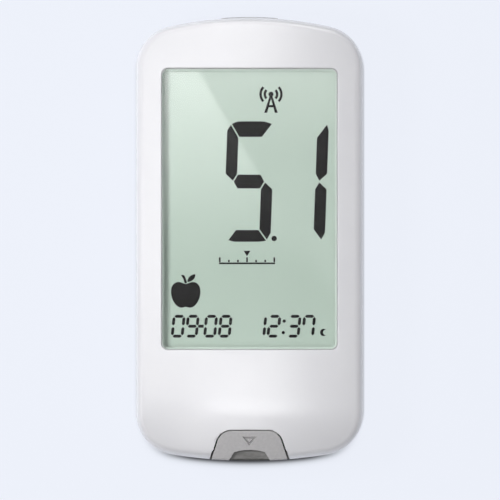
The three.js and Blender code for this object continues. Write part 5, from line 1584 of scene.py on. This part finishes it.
def rising(name, low_y, high_y):
    """A card that is dark where one height of the lens mirrors it, and bright at another."""
    made = steady(name, 1.0)
    nodes, links = made.node_tree.nodes, made.node_tree.links
    where = nodes.new("ShaderNodeTexCoord")
    parts = nodes.new("ShaderNodeSeparateXYZ")
    climb = nodes.new("ShaderNodeMapRange")
    climb.inputs["From Min"].default_value = mirrored(0, low_y)[1]
    climb.inputs["From Max"].default_value = mirrored(0, high_y)[1]
    links.new(where.outputs["Object"], parts.inputs["Vector"])
    links.new(parts.outputs["Y"], climb.inputs["Value"])
    return made, nodes, links, climb.outputs["Result"]


print("the middle of the window mirrors", [round(v, 4) for v in mirrored(0, 0)])

# %% [markdown]
# ## How bright each card is
# The slanted card fades out towards the foot of the picture, along a curve that a power gives. The
# sheen card, beyond the slanted card's edge, is much weaker and is brightest at the head of the picture.
# A colour ramp sets it, because its rise has steps that no simple curve has. The others are even.

# %% Brightness of each card
CARD_FOOT, CARD_HEAD, CARD_POWER, CARD_STRENGTH = -6, 36, 1.3, 4.1
SHEEN_FOOT, SHEEN_HEAD, SHEEN_END = -14.7, 35, 1.9
SHEEN_STEPS = ((0.2, 0.5), (0.45, 0.55), (0.66, 0.56), (0.8, 1.02))
card_glow, nodes, links, climb = rising("soft_card_glow", CARD_FOOT, CARD_HEAD)
soften, brighten = nodes.new("ShaderNodeMath"), nodes.new("ShaderNodeMath")
soften.operation, brighten.operation = "POWER", "MULTIPLY"
soften.inputs[1].default_value, brighten.inputs[1].default_value = CARD_POWER, CARD_STRENGTH
links.new(climb, soften.inputs[0])
links.new(soften.outputs["Value"], brighten.inputs[0])
links.new(brighten.outputs["Value"], nodes["Emission"].inputs["Strength"])

sheen_glow, nodes, links, climb = rising("sheen_card_glow", SHEEN_FOOT, SHEEN_HEAD)
steps = nodes.new("ShaderNodeValToRGB")
steps.color_ramp.elements[0].color = (0, 0, 0, 1)
for place, strength in SHEEN_STEPS:
    steps.color_ramp.elements.new(place).color = (strength, strength, strength, 1)
steps.color_ramp.elements[-1].color = (SHEEN_END, SHEEN_END, SHEEN_END, 1)
links.new(climb, steps.inputs["Fac"])
links.new(steps.outputs["Color"], nodes["Emission"].inputs["Color"])
steady_glow, far_glow, dim_glow = steady("bright_card", 6.0), steady("far_card", 4.7), steady("dim_card", 2.5)
print("the slanted card is brightest at", round(mirrored(0, CARD_HEAD)[1], 3), "m")

# %% [markdown]
# ## Where the cards hang
# The slanted card's edge makes the diagonal across the window, and the sheen card starts at that edge.
# The far, near, low and left cards are mirrored in the thin gloss of the case, above, below and beside
# the window. The wrap cards stand further out and are only mirrored: they carry the gloss over the
# rounded edges.

# %% Hang the cards
edge_top, edge_low, sheen_top = mirrored(-20.2, 52.0), mirrored(19.5, -14.7), mirrored(-12.2, 38.6)
LEFT, RIGHT, SHEEN_RIGHT, FAR_LEFT = -0.08, 0.075, mirrored(20.5, 0)[0], -0.035
FAR, FAR_END_Y, NEAR, NEAR_END_Y = mirrored(0, 38.6)[1], 0.35, mirrored(0, -26.0)[1], -0.2
card("slanted_card", [(LEFT, edge_low[1]), edge_low, edge_top, (LEFT, edge_top[1])], card_glow)
card("sheen_card", [edge_low, (SHEEN_RIGHT, edge_low[1]), (SHEEN_RIGHT, FAR), sheen_top], sheen_glow,
     lights=False)
card("far_card", [(FAR_LEFT, FAR), (RIGHT, FAR), (RIGHT, FAR_END_Y), (LEFT, FAR_END_Y), (LEFT, edge_top[1]),
                  (FAR_LEFT, edge_top[1])], far_glow)
card("near_card", rectangle((LEFT, RIGHT), (NEAR_END_Y, NEAR)), steady_glow)
card("low_card", rectangle((-0.12, 0.04), (-0.6, NEAR_END_Y)), dim_glow)
card("left_card", rectangle((-0.26, LEFT), (-0.06, 0.22)), dim_glow)

WRAP_LOW, WRAP_NEAR, WRAP_FAR = -0.7, 0.5, 1.5
for name, x, y, strength in (("left_wrap", (-WRAP_FAR, -WRAP_NEAR), (WRAP_LOW, WRAP_FAR), 1.3),
                             ("top_wrap", (-WRAP_NEAR, WRAP_NEAR), (WRAP_NEAR, WRAP_FAR), 2.2),
                             ("right_wrap", (WRAP_NEAR, WRAP_FAR), (WRAP_LOW, WRAP_FAR), 0.7),
                             ("low_wrap", (-WRAP_FAR, WRAP_FAR), (-WRAP_FAR, WRAP_LOW), 0.5)):
    card(name, rectangle(x, y), steady(name, strength), lights=False)
print("cards from", [round(v, 3) for v in edge_top], "to", [round(v, 3) for v in edge_low])
